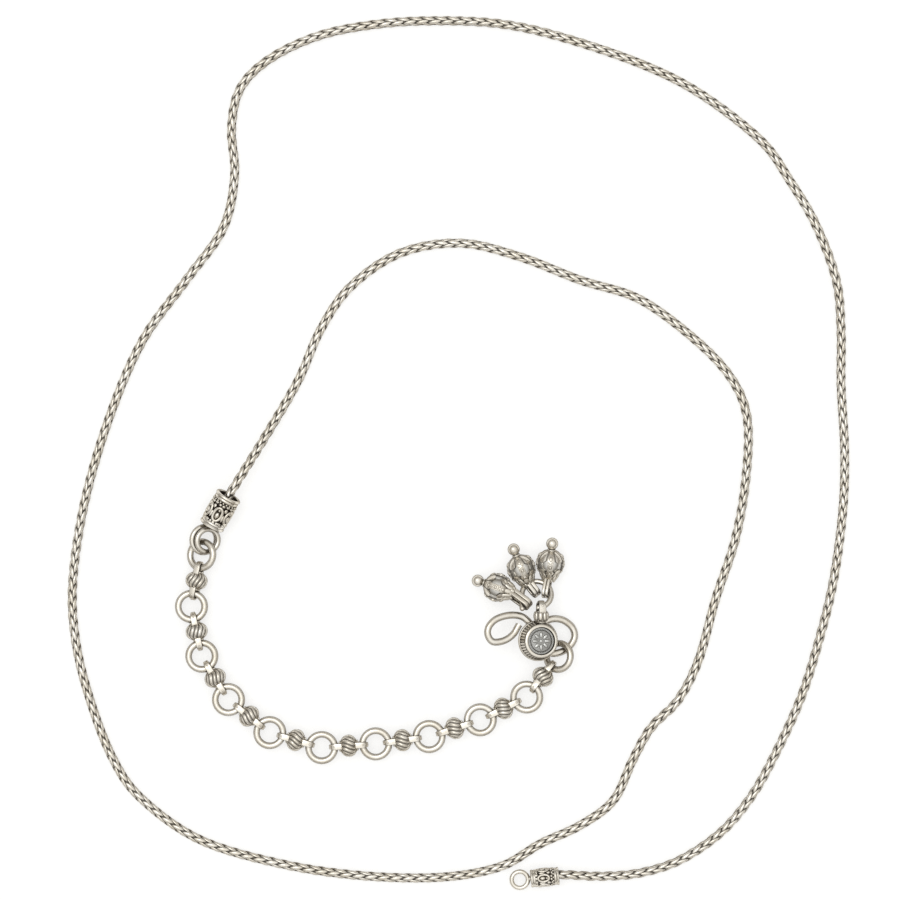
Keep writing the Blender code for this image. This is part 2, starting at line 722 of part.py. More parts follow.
def drop_body():
    """Core, petal caps and straps as one turned form, the bail's end at +X."""
    half = DROP_HALF_LENGTH
    core = DROP_CORE_RADIUS
    neck = 0.28 * core
    profile = [(-half - DROP_COLLAR, 0), (-half - DROP_COLLAR, neck), (-half, neck)]
    for i in range(1, 8):
        angle = math.pi * i / 8
        profile.append((-0.93 * half * math.cos(angle), core * math.sin(angle)))
    profile += [(half, 0.34 * core), (half, 0)]

    def relief(along, angle):
        strap = abs((angle * 4 / (2 * math.pi) + 0.5) % 1 - 0.5) < 0.13
        cap = abs(along) > 0.55 * half
        return DROP_CAP_RADIUS - core if strap or cap else 0

    return turned(profile, 16, relief)


def bail_frame(end, held, wire_line):
    """A bail's frame at a body's end: +X to where the ring's wire holds it, +Y along that wire."""
    along = (held - end).normalized()
    across = (wire_line - wire_line.dot(along) * along).normalized()
    columns = Matrix((along, across, along.cross(across))).transposed()
    return Matrix.Translation(end) @ columns.to_4x4()


def make_drops():
    centre = drop_ring_frame().translation
    path = drop_ring_path(4 * DROP_RING_POINTS)
    for name, (x, y), heading, crossing, below, past, width in DROPS:
        at = round(crossing * (len(path) - 1))
        place = centre + DROP_RING_MEAN_RADIUS * Vector((x, y, 0))
        place.z = DROP_CAP_RADIUS
        pitch = math.asin((path[at].z - below - place.z) / DROP_HALF_LENGTH)
        frame = placed(place, math.radians(heading), pitch)
        end = frame @ Vector((DROP_HALF_LENGTH, 0, 0))
        bail = bail_frame(end, path[at], path[at + 1] - path[at - 1])
        distance = (path[at] - end).length
        tip = [(-DROP_TIP_RADIUS, 0)]
        for i in range(1, 6):
            angle = math.pi * i / 6
            tip.append((-DROP_TIP_RADIUS * math.cos(angle), DROP_TIP_RADIUS * math.sin(angle)))
        tip.append((DROP_TIP_RADIUS, 0))
        eye = strap_eye(-BAIL_ROOT, distance + past, BAIL_INNER_RADIUS, BAIL_THICKNESS, width)
        parts = [
            helper(drop_body(), frame),
            helper(turned(tip, 10), frame @ Matrix.Translation((-DROP_TIP_REACH, 0, 0))),
            helper(eye, bail),
        ]
        finish(piece(name, fused(parts)), SILVER, 0.3)


clear_scene()
make_chain()
make_small_cap()
make_big_cap()
make_extension()
make_hook_drum()
make_medallion()
make_drop_ring()
make_drops()
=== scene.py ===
# %% [markdown]
# # A silver waist chain, laid out open
# The imported model is the fixed frame of this scene. It gives every piece its place and size.
# What is added here is the finish that the plain solids leave out: the woven links, the
# ornament of the caps and drops, the milled drum, and the look of worn silver, with painted
# shade down its sides and between its parts.

# %% Load the frame and measure it
import math
import random

import bmesh
import bpy
from mathutils import Matrix, Vector
from mathutils.kdtree import KDTree


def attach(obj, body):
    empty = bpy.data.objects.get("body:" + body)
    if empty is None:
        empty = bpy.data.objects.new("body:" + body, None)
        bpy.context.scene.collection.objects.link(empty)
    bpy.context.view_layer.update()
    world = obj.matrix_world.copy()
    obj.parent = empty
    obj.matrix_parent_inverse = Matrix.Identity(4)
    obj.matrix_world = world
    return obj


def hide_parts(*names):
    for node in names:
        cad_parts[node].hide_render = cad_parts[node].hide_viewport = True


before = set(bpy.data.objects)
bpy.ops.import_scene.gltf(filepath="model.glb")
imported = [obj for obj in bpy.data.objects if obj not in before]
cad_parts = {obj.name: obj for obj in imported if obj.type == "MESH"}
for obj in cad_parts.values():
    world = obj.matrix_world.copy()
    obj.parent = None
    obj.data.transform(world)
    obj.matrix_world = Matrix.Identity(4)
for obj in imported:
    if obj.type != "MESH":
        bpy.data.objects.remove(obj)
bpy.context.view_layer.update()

MM = 0.001
luck = random.Random(7)

# %% [markdown]
# ## Camera, floor and light
# The chain is seen from straight above through a long lens, so that nothing leans outwards.
# It lies on a white sheet under a wide soft ceiling of light. Polished silver shows what
# is round it, so a ceiling that ends above the horizon leaves each wire with a bright
# middle and a warm grey edge.

# %% Camera
def put(name, data, place=(0, 0, 0)):
    """A new object in the scene."""
    obj = bpy.data.objects.new(name, data)
    obj.location = place
    bpy.context.collection.objects.link(obj)
    return obj


PICTURE_WIDTH = 0.20457
CAMERA_HEIGHT = 0.92
FOCUS_HEIGHT = 0.002
PICTURE_CENTRE = (-0.00189, 0.00073)
SENSOR = 36.0

lens_data = bpy.data.cameras.new("camera")
lens_data.sensor_width = SENSOR
lens_data.lens = SENSOR * CAMERA_HEIGHT / PICTURE_WIDTH
lens_data.clip_start = 0.05
lens_data.clip_end = 10
bpy.context.scene.camera = put("camera", lens_data,
                               (*PICTURE_CENTRE, CAMERA_HEIGHT + FOCUS_HEIGHT))
print("lens in mm:", round(lens_data.lens, 1))


# %% Helpers for selecting, placing and joining
def pick(*objects):
    """Leaves only these objects selected, the first one active."""
    if bpy.context.object and bpy.context.object.mode != "OBJECT":
        bpy.ops.object.mode_set(mode="OBJECT")
    bpy.ops.object.select_all(action="DESELECT")
    for obj in objects:
        obj.select_set(True)
    if objects:
        bpy.context.view_layer.objects.active = objects[0]


def edit(obj):
    """Goes into edit mode with all of the mesh selected."""
    pick(obj)
    bpy.ops.object.mode_set(mode="EDIT")
    bpy.ops.mesh.select_mode(type="VERT")
    bpy.ops.mesh.select_all(action="SELECT")


def done():
    bpy.ops.object.mode_set(mode="OBJECT")


def choose_edges(obj, test):
    """In edit mode, selects only the edges that pass the test."""
    bpy.ops.mesh.select_mode(type="EDGE")
    bpy.ops.mesh.select_all(action="DESELECT")
    net = bmesh.from_edit_mesh(obj.data)
    for edge in net.edges:
        if test(edge):
            edge.select_set(True)
    net.select_flush_mode()
    bmesh.update_edit_mesh(obj.data)


def placed(position, heading=0.0, pitch=0.0, roll=0.0):
    """Lays local +X along a heading, nose up by the pitch, turned by the roll."""
    turn = Matrix.Rotation(heading, 4, "Z") @ Matrix.Rotation(-pitch, 4, "Y")
    return Matrix.Translation(position) @ turn @ Matrix.Rotation(roll, 4, "X")


def settle_in(obj, matrix=None):
    """Puts an object at its matrix and bakes that place into its mesh."""
    pick(obj)
    if matrix is not None:
        obj.matrix_world = matrix @ obj.matrix_world
    bpy.ops.object.transform_apply(location=True, rotation=True, scale=True)
    return obj


def copy_at(obj, matrix, name="copy"):
    """A copy with its own mesh, placed by the matrix."""
    twin = obj.copy()
    twin.data = obj.data.copy()
    twin.name = name
    twin.matrix_world = matrix @ obj.matrix_world
    bpy.context.collection.objects.link(twin)
    return twin


def join(name, parts):
    """One object from several, with its place in its mesh."""
    pick(*parts)
    if len(parts) > 1:
        bpy.ops.object.join()
    obj = bpy.context.object
    obj.name = name
    obj.data.name = name
    bpy.ops.object.transform_apply(location=True, rotation=True, scale=True)
    return obj


def modify(obj, kind, **settings):
    """Adds a modifier of this kind with these settings."""
    modifier = obj.modifiers.new(kind.lower(), kind)
    for name, value in settings.items():
        setattr(modifier, name, value)


def apply_all(obj):
    """Applies every modifier, from the top down."""
    pick(obj)
    for modifier in list(obj.modifiers):
        bpy.ops.object.modifier_apply(modifier=modifier.name)


def remove(*objects):
    for obj in objects:
        bpy.data.objects.remove(obj)


def outward(obj):
    """Turns the outside of every closed shell in the mesh outwards."""
    edit(obj)
    bpy.ops.mesh.normals_make_consistent(inside=False)
    done()
    return obj


FLOOR_PLAY = 0.00001


def hand_over(obj, node_name):
    """Ends a piece: nothing under the floor, its CAD node replaced, its body named."""
    outward(obj)
    for vert in obj.data.vertices:
        vert.co.z = max(vert.co.z, FLOOR_PLAY)
    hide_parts(node_name)
    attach(obj, "root")
    print(obj.name, "triangles:", sum(len(face.vertices) - 2 for face in obj.data.polygons))


print("helpers ready")


# %% Shader maths as plain expressions
class Wire:
    """A socket in one material's node tree, with the usual signs of arithmetic."""

    def __init__(self, tree, socket):
        self.tree = tree
        self.socket = socket

    def node(self, kind, settings=None, **inputs):
        """A new node. Its sockets are given by name, or by number as i0, i1 and so on."""
        made = self.tree.nodes.new(kind)
        for name, value in (settings or {}).items():
            setattr(made, name, value)
        for name, value in inputs.items():
            place = made.inputs[int(name[1:]) if name[1:].isdigit() else name.replace("_", " ")]
            if isinstance(value, Wire):
                self.tree.links.new(value.socket, place)
            else:
                place.default_value = value
        return made

    def out(self, kind, settings=None, output=0, **inputs):
        return Wire(self.tree, self.node(kind, settings, **inputs).outputs[output])

    def maths(self, operation, first, second):
        return self.out("ShaderNodeMath", {"operation": operation}, i0=first, i1=second)

    def __add__(self, other):
        return self.maths("ADD", self, other)

    def __mul__(self, other):
        return self.maths("MULTIPLY", self, other)

    def __rsub__(self, other):
        return self.maths("SUBTRACT", other, self)

    def between(self, low, high):
        """0 at and below low, 1 at and above high."""
        return self.out("ShaderNodeMapRange", {"clamp": True}, Value=self, From_Min=low,
                        From_Max=high)

    def blend(self, dark, bright):
        """This number as the share of the bright colour over the dark one."""
        settings = {"data_type": "RGBA", "clamp_factor": True}
        return self.out("ShaderNodeMix", settings, output=2, i0=self, i6=dark, i7=bright)


print("shader helper ready")


# %% [markdown]
# ## Silver
# All of it is silver, but not one silver. Polished wire is pale and warm, the chain is softer,
# the cores of the drops and the medallion are grey, and hollows keep a brown-black stain.
# The sides of each wire are painted brown as they slope away from straight up: painted shade
# and reflection. Where neighbours or the floor close a surface in, it is painted darker, partly
# tarnish in the crevices and partly painted shade at the contacts. A mark that the modelling
# leaves on deep places darkens them too: tarnish on the blackened grounds, painted shade between
# the chain's loops, in its core and along strap edges. None of that depends on the camera.

# %% Silver finishes
IVORY = (0.93, 0.895, 0.82, 1)
CREAM = (0.78, 0.725, 0.62, 1)
SIDE_SHADE_BROWN = (0.125, 0.100, 0.070, 1)
BLACK = (0.035, 0.028, 0.022, 1)
EDGE_TINT = (0.34, 0.29, 0.23, 1)
DULL = 0.08
CLOUD_SCALE = 260.0
SPECK_SCALE = 2600.0
HAIR_SCALE = 1900.0
HAIR_STRETCH = (1.0, 3.4, 1.7)
DENT_SCALE = 900.0
SCRATCH = 0.16
SCRATCH_DEPTH = 0.0001


def silver(name, bright=IVORY, worn=CREAM, side=SIDE_SHADE_BROWN, deep=BLACK, rough=0.22, slope=(0.12, 0.86),
           reach=0.0007, cut=0.8):
    """Silver of a randomly worn tone, with painted shade brown down the sides and darker hollows, partly
    tarnish and partly painted shade.
    """
    material = bpy.data.materials.new(name)
    material.use_nodes = True
    tree = material.node_tree
    tree.nodes.clear()
    wire = Wire(tree, None)
    place = wire.node("ShaderNodeTexCoord")
    spot = Wire(tree, place.outputs["Object"])
    normal = Wire(tree, place.outputs["Normal"])
    height = wire.out("ShaderNodeSeparateXYZ", output=2, Vector=normal)

    cloudy = wire.out("ShaderNodeTexNoise", Vector=spot, Scale=CLOUD_SCALE, Detail=4.0)
    speck = wire.out("ShaderNodeTexNoise", Vector=spot, Scale=SPECK_SCALE, Detail=3.0)
    tone = (cloudy * 0.6 + speck * 0.4).between(0.38, 0.62)
    metal = tone.blend(worn, bright)

    # Painted shade and reflection: brown down the sides of each wire as they slope away from straight up,
    # plus any side mark that a piece carries.
    low = wire.out("ShaderNodeAttribute", {"attribute_name": "side_shade"}, output=2)
    side_shade = ((1 - height.between(*slope)) + low).between(0.0, 1.0)
    metal = side_shade.blend(metal, side)
    # Painted darker where neighbours or the floor close the surface in: partly tarnish in crevices, partly
    # painted shade at the contacts.
    opened = wire.out("ShaderNodeAmbientOcclusion", {"samples": 8}, output=1, Distance=reach)
    closed = 1 - (opened + speck * 0.12).between(0.22, 0.78)
    # The mark that the modelling leaves on deep places: tarnish on blackened grounds, painted shade under the
    # chain's loops, in its core and along strap edges.
    hollow = wire.out("ShaderNodeAttribute", {"attribute_name": "deep"}, output=2)
    stain_and_shade = (closed * cut + hollow).between(0.0, 1.0)
    metal = stain_and_shade.blend(metal, deep)

    drawn = wire.out("ShaderNodeMapping", Vector=spot, Scale=HAIR_STRETCH)
    hairs = wire.out("ShaderNodeTexNoise", Vector=drawn, Scale=HAIR_SCALE, Detail=5.0,
                     Roughness=0.62)
    dents = wire.out("ShaderNodeTexVoronoi", {"feature": "SMOOTH_F1"}, Vector=spot,
                     Scale=DENT_SCALE)
    relief = wire.out("ShaderNodeBump", Height=hairs * 0.6 + dents * 0.5, Strength=SCRATCH,
                      Distance=SCRATCH_DEPTH)
    shine = hairs * 0.16 + stain_and_shade * 0.30 + side_shade * 0.22 + (rough - 0.08)

    surface = wire.out("ShaderNodeBsdfPrincipled", Base_Color=metal, Roughness=shine,
                       Metallic=1 - side_shade, Specular_IOR_Level=DULL, Specular_Tint=EDGE_TINT,
                       Normal=relief)
    wire.node("ShaderNodeOutputMaterial", Surface=surface)
    return material


FINISHES = {
    "chain": silver("woven_silver", side=(0.27, 0.23, 0.175, 1), rough=0.26, slope=(-0.9, -0.3),
                    reach=0.00025, cut=0.8),
    "ring": silver("ring_silver"),
    "bead": silver("bead_silver", rough=0.24, slope=(-0.15, 0.50), reach=0.0003, cut=0.5),
    "cap": silver("cap_silver", rough=0.26, slope=(-0.25, 0.42), reach=0.0004, cut=0.8),
    "hook": silver("hook_silver", rough=0.20),
    "milled": silver("milled_silver", rough=0.26, slope=(-0.25, 0.30), reach=0.0004, cut=0.7),
    "drop": silver("drop_silver", rough=0.27, slope=(0.06, 0.62), reach=0.0004, cut=0.7),
    "core": silver("core_silver", bright=(0.84, 0.83, 0.79, 1), worn=(0.66, 0.65, 0.61, 1),
                   rough=0.20, slope=(0.05, 0.75), reach=0.0003, cut=0.6),
    "grey": silver("grey_silver", bright=(0.80, 0.81, 0.79, 1), worn=(0.58, 0.585, 0.565, 1),
                   deep=(0.10, 0.095, 0.085, 1), rough=0.28, slope=(-0.1, 0.55), reach=0.0003),
}
print("finishes:", ", ".join(FINISHES))


def coat(finish, *objects):
    """Gives each object this one finish."""
    for obj in objects:
        obj.data.materials.clear()
        obj.data.materials.append(FINISHES[finish])


def mark(obj, name, rule):
    """Leaves a mark from 0 to 1 on each point, for the stains and the painted shade."""
    marks = obj.data.attributes.get(name)
    if marks is None:
        marks = obj.data.attributes.new(name, "FLOAT", "POINT")
    for vert, item in zip(obj.data.vertices, marks.data):
        item.value = min(max(rule(vert.co), 0.0), 1.0)


def mark_deep(obj, rule=lambda co: 0.0):
    mark(obj, "deep", rule)


def plain(obj):
    """Smooth all over, with no dark mark of its own."""
    mark_deep(obj)
    pick(obj)
    bpy.ops.object.shade_smooth()
    return obj


# %% [markdown]
# ## Where everything lies
# The model's source works out each place from a few sizes. The same steps are repeated here,
# so that each finished piece lands exactly on the plain solid that it stands for.

# %% Lines and curves
def toward(angle):
    return Vector((math.cos(angle), math.sin(angle), 0))


def spaced(points, count):
    """The same line, read again at a number of points evenly apart."""
    runs = [0.0]
    for first, second in zip(points, points[1:]):
        runs.append(runs[-1] + (second - first).length)
    result = []
    at = 0
    for i in range(count):
        target = runs[-1] * i / (count - 1)
        while at < len(points) - 2 and runs[at + 1] < target:
            at += 1
        share = (target - runs[at]) / (runs[at + 1] - runs[at])
        result.append(points[at].lerp(points[at + 1], min(share, 1)))
    return result


def smooth_curve(points, count):
    """Evenly spaced points on the Catmull-Rom curve through the given points."""
    fine = []
    size = len(points)
    for i in range(size - 1):
        a, b, c, d = (points[min(max(i + k, 0), size - 1)] for k in (-1, 0, 1, 2))
        for step in range(12):
            t = step / 12
            fine.append(0.5 * (2 * b + (c - a) * t + (2 * a - 5 * b + 4 * c - d) * t**2
                               + (3 * b - a - 3 * c + d) * t**3))
    fine.append(points[-1])
    return spaced(fine, count)


def length_of(points):
    return sum((b - a).length for a, b in zip(points, points[1:]))


# %% The chain's route and the caps
CHAIN_RADIUS = 0.001075
CHAIN_HEIGHT = CHAIN_RADIUS * math.cos(math.pi / 8)
CHAIN_END_RUN = 0.030
MODEL_POINTS = 160
ROUTE = [
    (19.4, -96.4), (23.4, -95.8), (32.2, -96.2), (41.3, -95.5), (50.4, -92.6), (59.5, -86.5),
    (66.2, -78.8), (71.5, -69.7), (77.8, -56.1), (82.1, -42.5), (85.4, -28.8), (87.5, -12.9),
    (87.9, 0.7), (87.1, 15.5), (87.1, 28.0), (86.0, 39.4), (81.4, 51.9), (75.4, 62.1),
    (68.8, 71.2), (54.9, 81.9), (41.3, 88.7), (23.1, 94.8), (9.5, 97.7), (-4.2, 98.4),
    (-17.8, 97.7), (-31.4, 95.1), (-42.8, 89.8), (-49.6, 83.0), (-51.6, 73.9), (-50.9, 63.2),
    (-53.5, 51.2), (-61.9, 39.4), (-71.8, 25.7), (-79.2, 8.7), (-84.9, -10.6), (-87.7, -28.8),
    (-87.1, -42.5), (-83.8, -56.1), (-78.5, -69.7), (-71.9, -78.8), (-58.7, -88.0),
    (-40.5, -93.4), (-22.3, -96.1), (-4.2, -96.5), (9.5, -94.1), (18.6, -88.9), (27.7, -84.7),
    (35.3, -79.0), (39.7, -69.8), (43.9, -62.4), (50.0, -56.2), (54.7, -47.0), (58.5, -33.4),
    (63.0, -19.7), (65.4, -6.1), (65.8, 7.5), (62.4, 16.6), (54.4, 25.4), (41.3, 35.0),
    (27.7, 39.4), (14.0, 44.7), (0.4, 47.8), (-13.3, 45.5), (-24.6, 37.8), (-31.4, 28.0),
    (-36.4, 16.6), (-44.3, 3.0), (-51.3, -8.4), (-53.7, -12.5),
]
CAP_CHAIN_GAP = 0.0003
CAP_SEAT_DEPTH = 0.0035
SMALL_CAP_LENGTH = 0.0065
SMALL_CAP_RADIUS = 0.00205
BIG_CAP_LENGTH = 0.0083
BIG_CAP_RADIUS = 0.0030
BIG_CAP_PITCH = math.radians(12)
BIG_CAP_END = BIG_CAP_RADIUS * math.cos(BIG_CAP_PITCH)


def chain_route(count):
    """The chain's centre line, on the floor and up into a cap at each end."""
    line = smooth_curve([Vector((x * MM, y * MM, 0)) for x, y in ROUTE], count)
    step = (line[1] - line[0]).length
    small_rise = SMALL_CAP_RADIUS - CHAIN_HEIGHT
    big_rise = (BIG_CAP_END + (BIG_CAP_LENGTH - CAP_SEAT_DEPTH) * math.sin(BIG_CAP_PITCH)
                - CHAIN_HEIGHT)
    for i, point in enumerate(line):
        near = min(i * step / CHAIN_END_RUN, 1)
        far = min((len(line) - 1 - i) * step / CHAIN_END_RUN, 1)
        point.z = CHAIN_HEIGHT + small_rise * (1 - 3 * near**2 + 2 * near**3)
        point.z += big_rise * (1 - 3 * far**2 + 2 * far**3)
        point.z += CHAIN_END_RUN * math.tan(BIG_CAP_PITCH) * (far - 2 * far**2 + far**3)
    return line


CENTRE_LINE = chain_route(MODEL_POINTS)


def cap_place(first, second, length, pitch, height):
    """The closed end of a cap and its heading, from the last two points of the chain."""
    direction = second - first
    heading = math.atan2(direction.y, direction.x)
    end = first - (length - CAP_SEAT_DEPTH) * math.cos(pitch) * toward(heading)
    end.z = height
    return end, heading


SMALL_END, SMALL_HEADING = cap_place(CENTRE_LINE[0], CENTRE_LINE[1], SMALL_CAP_LENGTH, 0, SMALL_CAP_RADIUS)
BIG_END, BIG_HEADING = cap_place(CENTRE_LINE[-1], CENTRE_LINE[-2], BIG_CAP_LENGTH, BIG_CAP_PITCH, BIG_CAP_END)
print("chain length in mm:", round(length_of(CENTRE_LINE) / MM, 1))

# %% The rings, the beads and the doubled loop
LOOP_MEAN_RADIUS = 0.0026
LOOP_WIRE = 0.0012
LOOP_NECK = 0.0008
LOOP_TURN = math.radians(16)
LOOP_ROLL = math.radians(28)
SECOND_LOOP_GROWTH = 0.0004
SECOND_LOOP_SHIFT = (0, -0.00045, -0.00095)
RING_MEAN_RADIUS = 0.0030
RING_WIRE = 0.00154
BEAD_RADIUS = 0.00245
BEAD_HALF_LENGTH = 0.0021
EYE_INNER_RADIUS = 0.0011
EYE_THICKNESS = 0.0004
EYE_WIDTH = 0.0014
EYE_REACH = 0.002975
EYE_PLAY = EYE_INNER_RADIUS - RING_WIRE / 2
FIRST_RING_HEADING = math.radians(-112.9)
FIRST_RING_SLACK = 0.0007
FIRST_RING_ROLL = math.radians(28)
FIRST_RING_LIFT = 0.00015
LAST_BEAD_DIP = math.radians(10.7)
LAST_RING_SLOPE = math.radians(29.4)
LAST_RING_HEADING = math.radians(-16)
LAST_RING_SHIFT = -0.00015
FLOOR_GAP = 0.00015
BEAD_ROLLS = {0: math.radians(19), 9: math.radians(-13.4)}
RING_STEPS = [
    (-101.2, 0.0), (-78.2, -0.63), (-58.5, -0.55), (-38.6, 0.08), (-16.1, 0.50),
    (3.9, 0.52), (7.8, 0.47), (18.1, 0.40), (26.2, -0.31), (51.2, -0.2),
]

LOOP_AWAY = BIG_HEADING + math.pi + LOOP_TURN
LOOP_CENTRE = BIG_END + (LOOP_MEAN_RADIUS + LOOP_NECK) * toward(LOOP_AWAY)
crossing = LOOP_WIRE / 2 + RING_WIRE / 2 + FIRST_RING_SLACK
centre = LOOP_CENTRE + (LOOP_MEAN_RADIUS + RING_MEAN_RADIUS - crossing) * toward(FIRST_RING_HEADING)
centre.z = BEAD_RADIUS
centres = [centre]
headings = []
for degrees, slack in RING_STEPS:
    headings.append(math.radians(degrees))
    stride = 2 * (EYE_REACH + RING_MEAN_RADIUS + slack * EYE_PLAY)
    centres.append(centres[-1] + stride * toward(headings[-1]))

last_rise = EYE_REACH * math.sin(LAST_BEAD_DIP)
ring_frames = [placed(centre, heading) for centre, heading in zip(centres, headings)]
ring_frames[0] = placed(centres[0] + Vector((0, 0, FIRST_RING_LIFT)), headings[0], 0, FIRST_RING_ROLL)
ring_frames[9] = placed(centres[9] + Vector((0, 0, last_rise / 2)), headings[9],
                        math.asin(last_rise / 2 / RING_MEAN_RADIUS))
end_rise = RING_WIRE / 2 + RING_MEAN_RADIUS * math.sin(LAST_RING_SLOPE) + FLOOR_GAP
ring_frames.append(placed(Vector((centres[10].x + LAST_RING_SHIFT, centres[10].y, end_rise)),
                          LAST_RING_HEADING, LAST_RING_SLOPE))
bead_frames = []
for i, heading in enumerate(headings):
    middle = (centres[i] + centres[i + 1]) / 2
    middle.z = BEAD_RADIUS
    dip = LAST_BEAD_DIP if i == 9 else 0
    bead_frames.append(placed(middle, heading, -dip, BEAD_ROLLS.get(i, 0)))
print("rings:", len(ring_frames), "beads:", len(bead_frames))

# %% The hook, the drum and the ring of the drops
HOOK_WIRE = 0.0016
HOOK_SPAN = 0.0207
HOOK_DEPTH = 0.0087
HOOK_TILT = math.radians(15)
HOOK_LEFT_OF_LAST_RING = 0.00508
HOOK_ABOVE_LAST_RING = 0.00370
HOOK_PATH = [
    (-0.230, 0.315), (-0.262, 0.190), (-0.330, 0.055), (-0.420, -0.023), (-0.510, -0.011),
    (-0.560, 0.172), (-0.545, 0.380), (-0.466, 0.563), (-0.330, 0.660), (-0.195, 0.644),
    (-0.104, 0.510), (-0.024, 0.253), (0.043, -0.011), (0.100, -0.218), (0.155, -0.333),
    (0.235, -0.337), (0.334, -0.246), (0.408, -0.063), (0.432, 0.133), (0.398, 0.346),
    (0.308, 0.510), (0.213, 0.560), (0.133, 0.530), (0.066, 0.440),
]
DRUM_BASE_RADIUS = 0.00465
DRUM_TOP_RADIUS = 0.00372
DRUM_HEIGHT = 0.0034
DRUM_LIFT = 0.0005
MEDALLION_RADIUS = 0.0030
MEDALLION_HEIGHT = 0.0005
MEDALLION_GAP = 0.0001
RECESS_DEPTH = 0.0008
KNOB_RADIUS = 0.00160
KNOB_HALF_LENGTH = 0.00138
KNOB_REACH = 0.0056
KNOB_NECK = 0.0020
KNOB_LIFT = 0.0017
KNOB_SHIFT = 0.00035
KNOB_EYE_WIDTH = 0.0017
KNOB_EYE_PLAY = 0.0004
DROP_RING_MEAN_RADIUS = 0.00333
DROP_RING_WIRE = 0.00122
DROP_RING_SLOPE = math.radians(28)
DROP_RING_HOLD = 0.915
DROP_RING_SHIFT = -0.0010
DROP_RING_TAIL = 0.0040
DROP_RING_TURN = math.radians(272)
DROP_RING_POINTS = 26

hook_low = max(along for along, _ in HOOK_PATH) * HOOK_SPAN * math.sin(HOOK_TILT)
hook_height = HOOK_WIRE / 2 + hook_low + FLOOR_GAP
HOOK_FRAME = (
    Matrix.Translation((centres[10].x - HOOK_LEFT_OF_LAST_RING,
                        centres[10].y + HOOK_ABOVE_LAST_RING, hook_height))
    @ Matrix.Rotation(HOOK_TILT, 4, "Y")
)
UPRIGHT = Matrix.Rotation(-math.pi / 2, 4, "Y")
DRUM_FRAME = HOOK_FRAME @ Matrix.Translation((0, 0, DRUM_LIFT)) @ UPRIGHT
MEDALLION_FRAME = (HOOK_FRAME @ Matrix.Translation(
    (0, 0, DRUM_LIFT + DRUM_HEIGHT - RECESS_DEPTH + MEDALLION_GAP)) @ UPRIGHT)
KNOB_FRAME = (HOOK_FRAME @ Matrix.Translation((KNOB_SHIFT, 0, DRUM_LIFT + KNOB_LIFT))
              @ Matrix.Rotation(math.pi / 2, 4, "Z"))
KNOB_EYE_REACH = KNOB_REACH + KNOB_HALF_LENGTH + DROP_RING_WIRE / 2 + CAP_CHAIN_GAP / 2
held = HOOK_FRAME @ Vector((KNOB_SHIFT, KNOB_EYE_REACH, DRUM_LIFT + KNOB_LIFT))
hold = DROP_RING_HOLD * DROP_RING_MEAN_RADIUS
DROP_RING_FRAME = (
    Matrix.Translation(held + Vector((DROP_RING_SHIFT, hold * math.cos(DROP_RING_SLOPE),
                                      -hold * math.sin(DROP_RING_SLOPE))))
    @ Matrix.Rotation(-DROP_RING_SLOPE, 4, "X")
)


def drop_ring_path(count):
    """The drop ring's wire from its long end, evenly spaced."""
    radius = DROP_RING_MEAN_RADIUS
    line = [Vector((-0.98 * radius, -DROP_RING_TAIL, 0)),
            Vector((-radius, -0.55 * DROP_RING_TAIL, 0))]
    for i in range(DROP_RING_POINTS + 1):
        line.append(radius * toward(math.pi - DROP_RING_TURN * i / DROP_RING_POINTS))
    return [DROP_RING_FRAME @ point for point in smooth_curve(line, count)]


def bail_frame(end, held, wire_line):
    """+X from a drop's end to the point where the ring's wire holds it, +Y along that wire."""
    along = (held - end).normalized()
    across = (wire_line - wire_line.dot(along) * along).normalized()
    columns = Matrix((along, across, along.cross(across))).transposed()
    return Matrix.Translation(end) @ columns.to_4x4()


print("drum axis at mm:", [round(v / MM, 2) for v in HOOK_FRAME.translation])


# %% [markdown]
# ## The woven chain
# The real chain is loop in loop: slim wire loops squeezed flat, each one standing out of the
# loop behind it, with the stitch of one row half a step from the next. From outside only the
# backs of the loops show, as almonds with a groove along them. So each is a stretched sphere
# with a groove, leaning one way in one row and the other way in the next. One stitch of all
# six rows is made round a straight line, an Array modifier repeats it, and a Curve modifier
# lays it along the route, which turns slowly as a chain that was set down by hand does.

# %% One stitch of the weave
STITCH = 0.00285
ROWS = 6
LOOP_HALF_LENGTH = 0.00162
LOOP_HALF_WIDTH = 0.00050
LOOP_HEIGHT = 0.00030
LOOP_GROOVE = 0.00007
GROOVE_SHADE = 0.26
LOOP_LEAN = math.radians(13)
END_DIVE = 0.00016
WEAVE_RADIUS = CHAIN_RADIUS - 0.8 * LOOP_HEIGHT


def woven_loop(row, shift, lean):
    """One squeezed loop: two legs with a groove between, its ends tucked below the next."""
    bpy.ops.mesh.primitive_uv_sphere_add(segments=10, ring_count=8, radius=1,
                                         rotation=(0, math.pi / 2, 0))
    loop = settle_in(bpy.context.object)
    # Painted shade: dark on the loop's lower half, where it tucks under its neighbours, and lighter in its
    # groove.
    mark_deep(loop, lambda co: max((0.52 - co.z) / 0.55,
                                   GROOVE_SHADE * (abs(co.y) < 0.2) * (abs(co.x) < 0.8)))
    for vert in loop.data.vertices:
        x, y, z = vert.co
        along = x * LOOP_HALF_LENGTH
        across = y * LOOP_HALF_WIDTH * (1 - 0.2 * x * x)
        rise = z * LOOP_HEIGHT - END_DIVE * x * x
        if z > 0:
            rise -= LOOP_GROOVE * math.exp(-(y / 0.35)**2) * (1 - x * x)
        angle = ((across * math.cos(lean) + along * math.sin(lean)) / WEAVE_RADIUS
                 + row * 2 * math.pi / ROWS)
        reach = WEAVE_RADIUS + rise
        vert.co = (along * math.cos(lean) - across * math.sin(lean) + shift,
                   -reach * math.sin(angle), reach * math.cos(angle))
    return loop


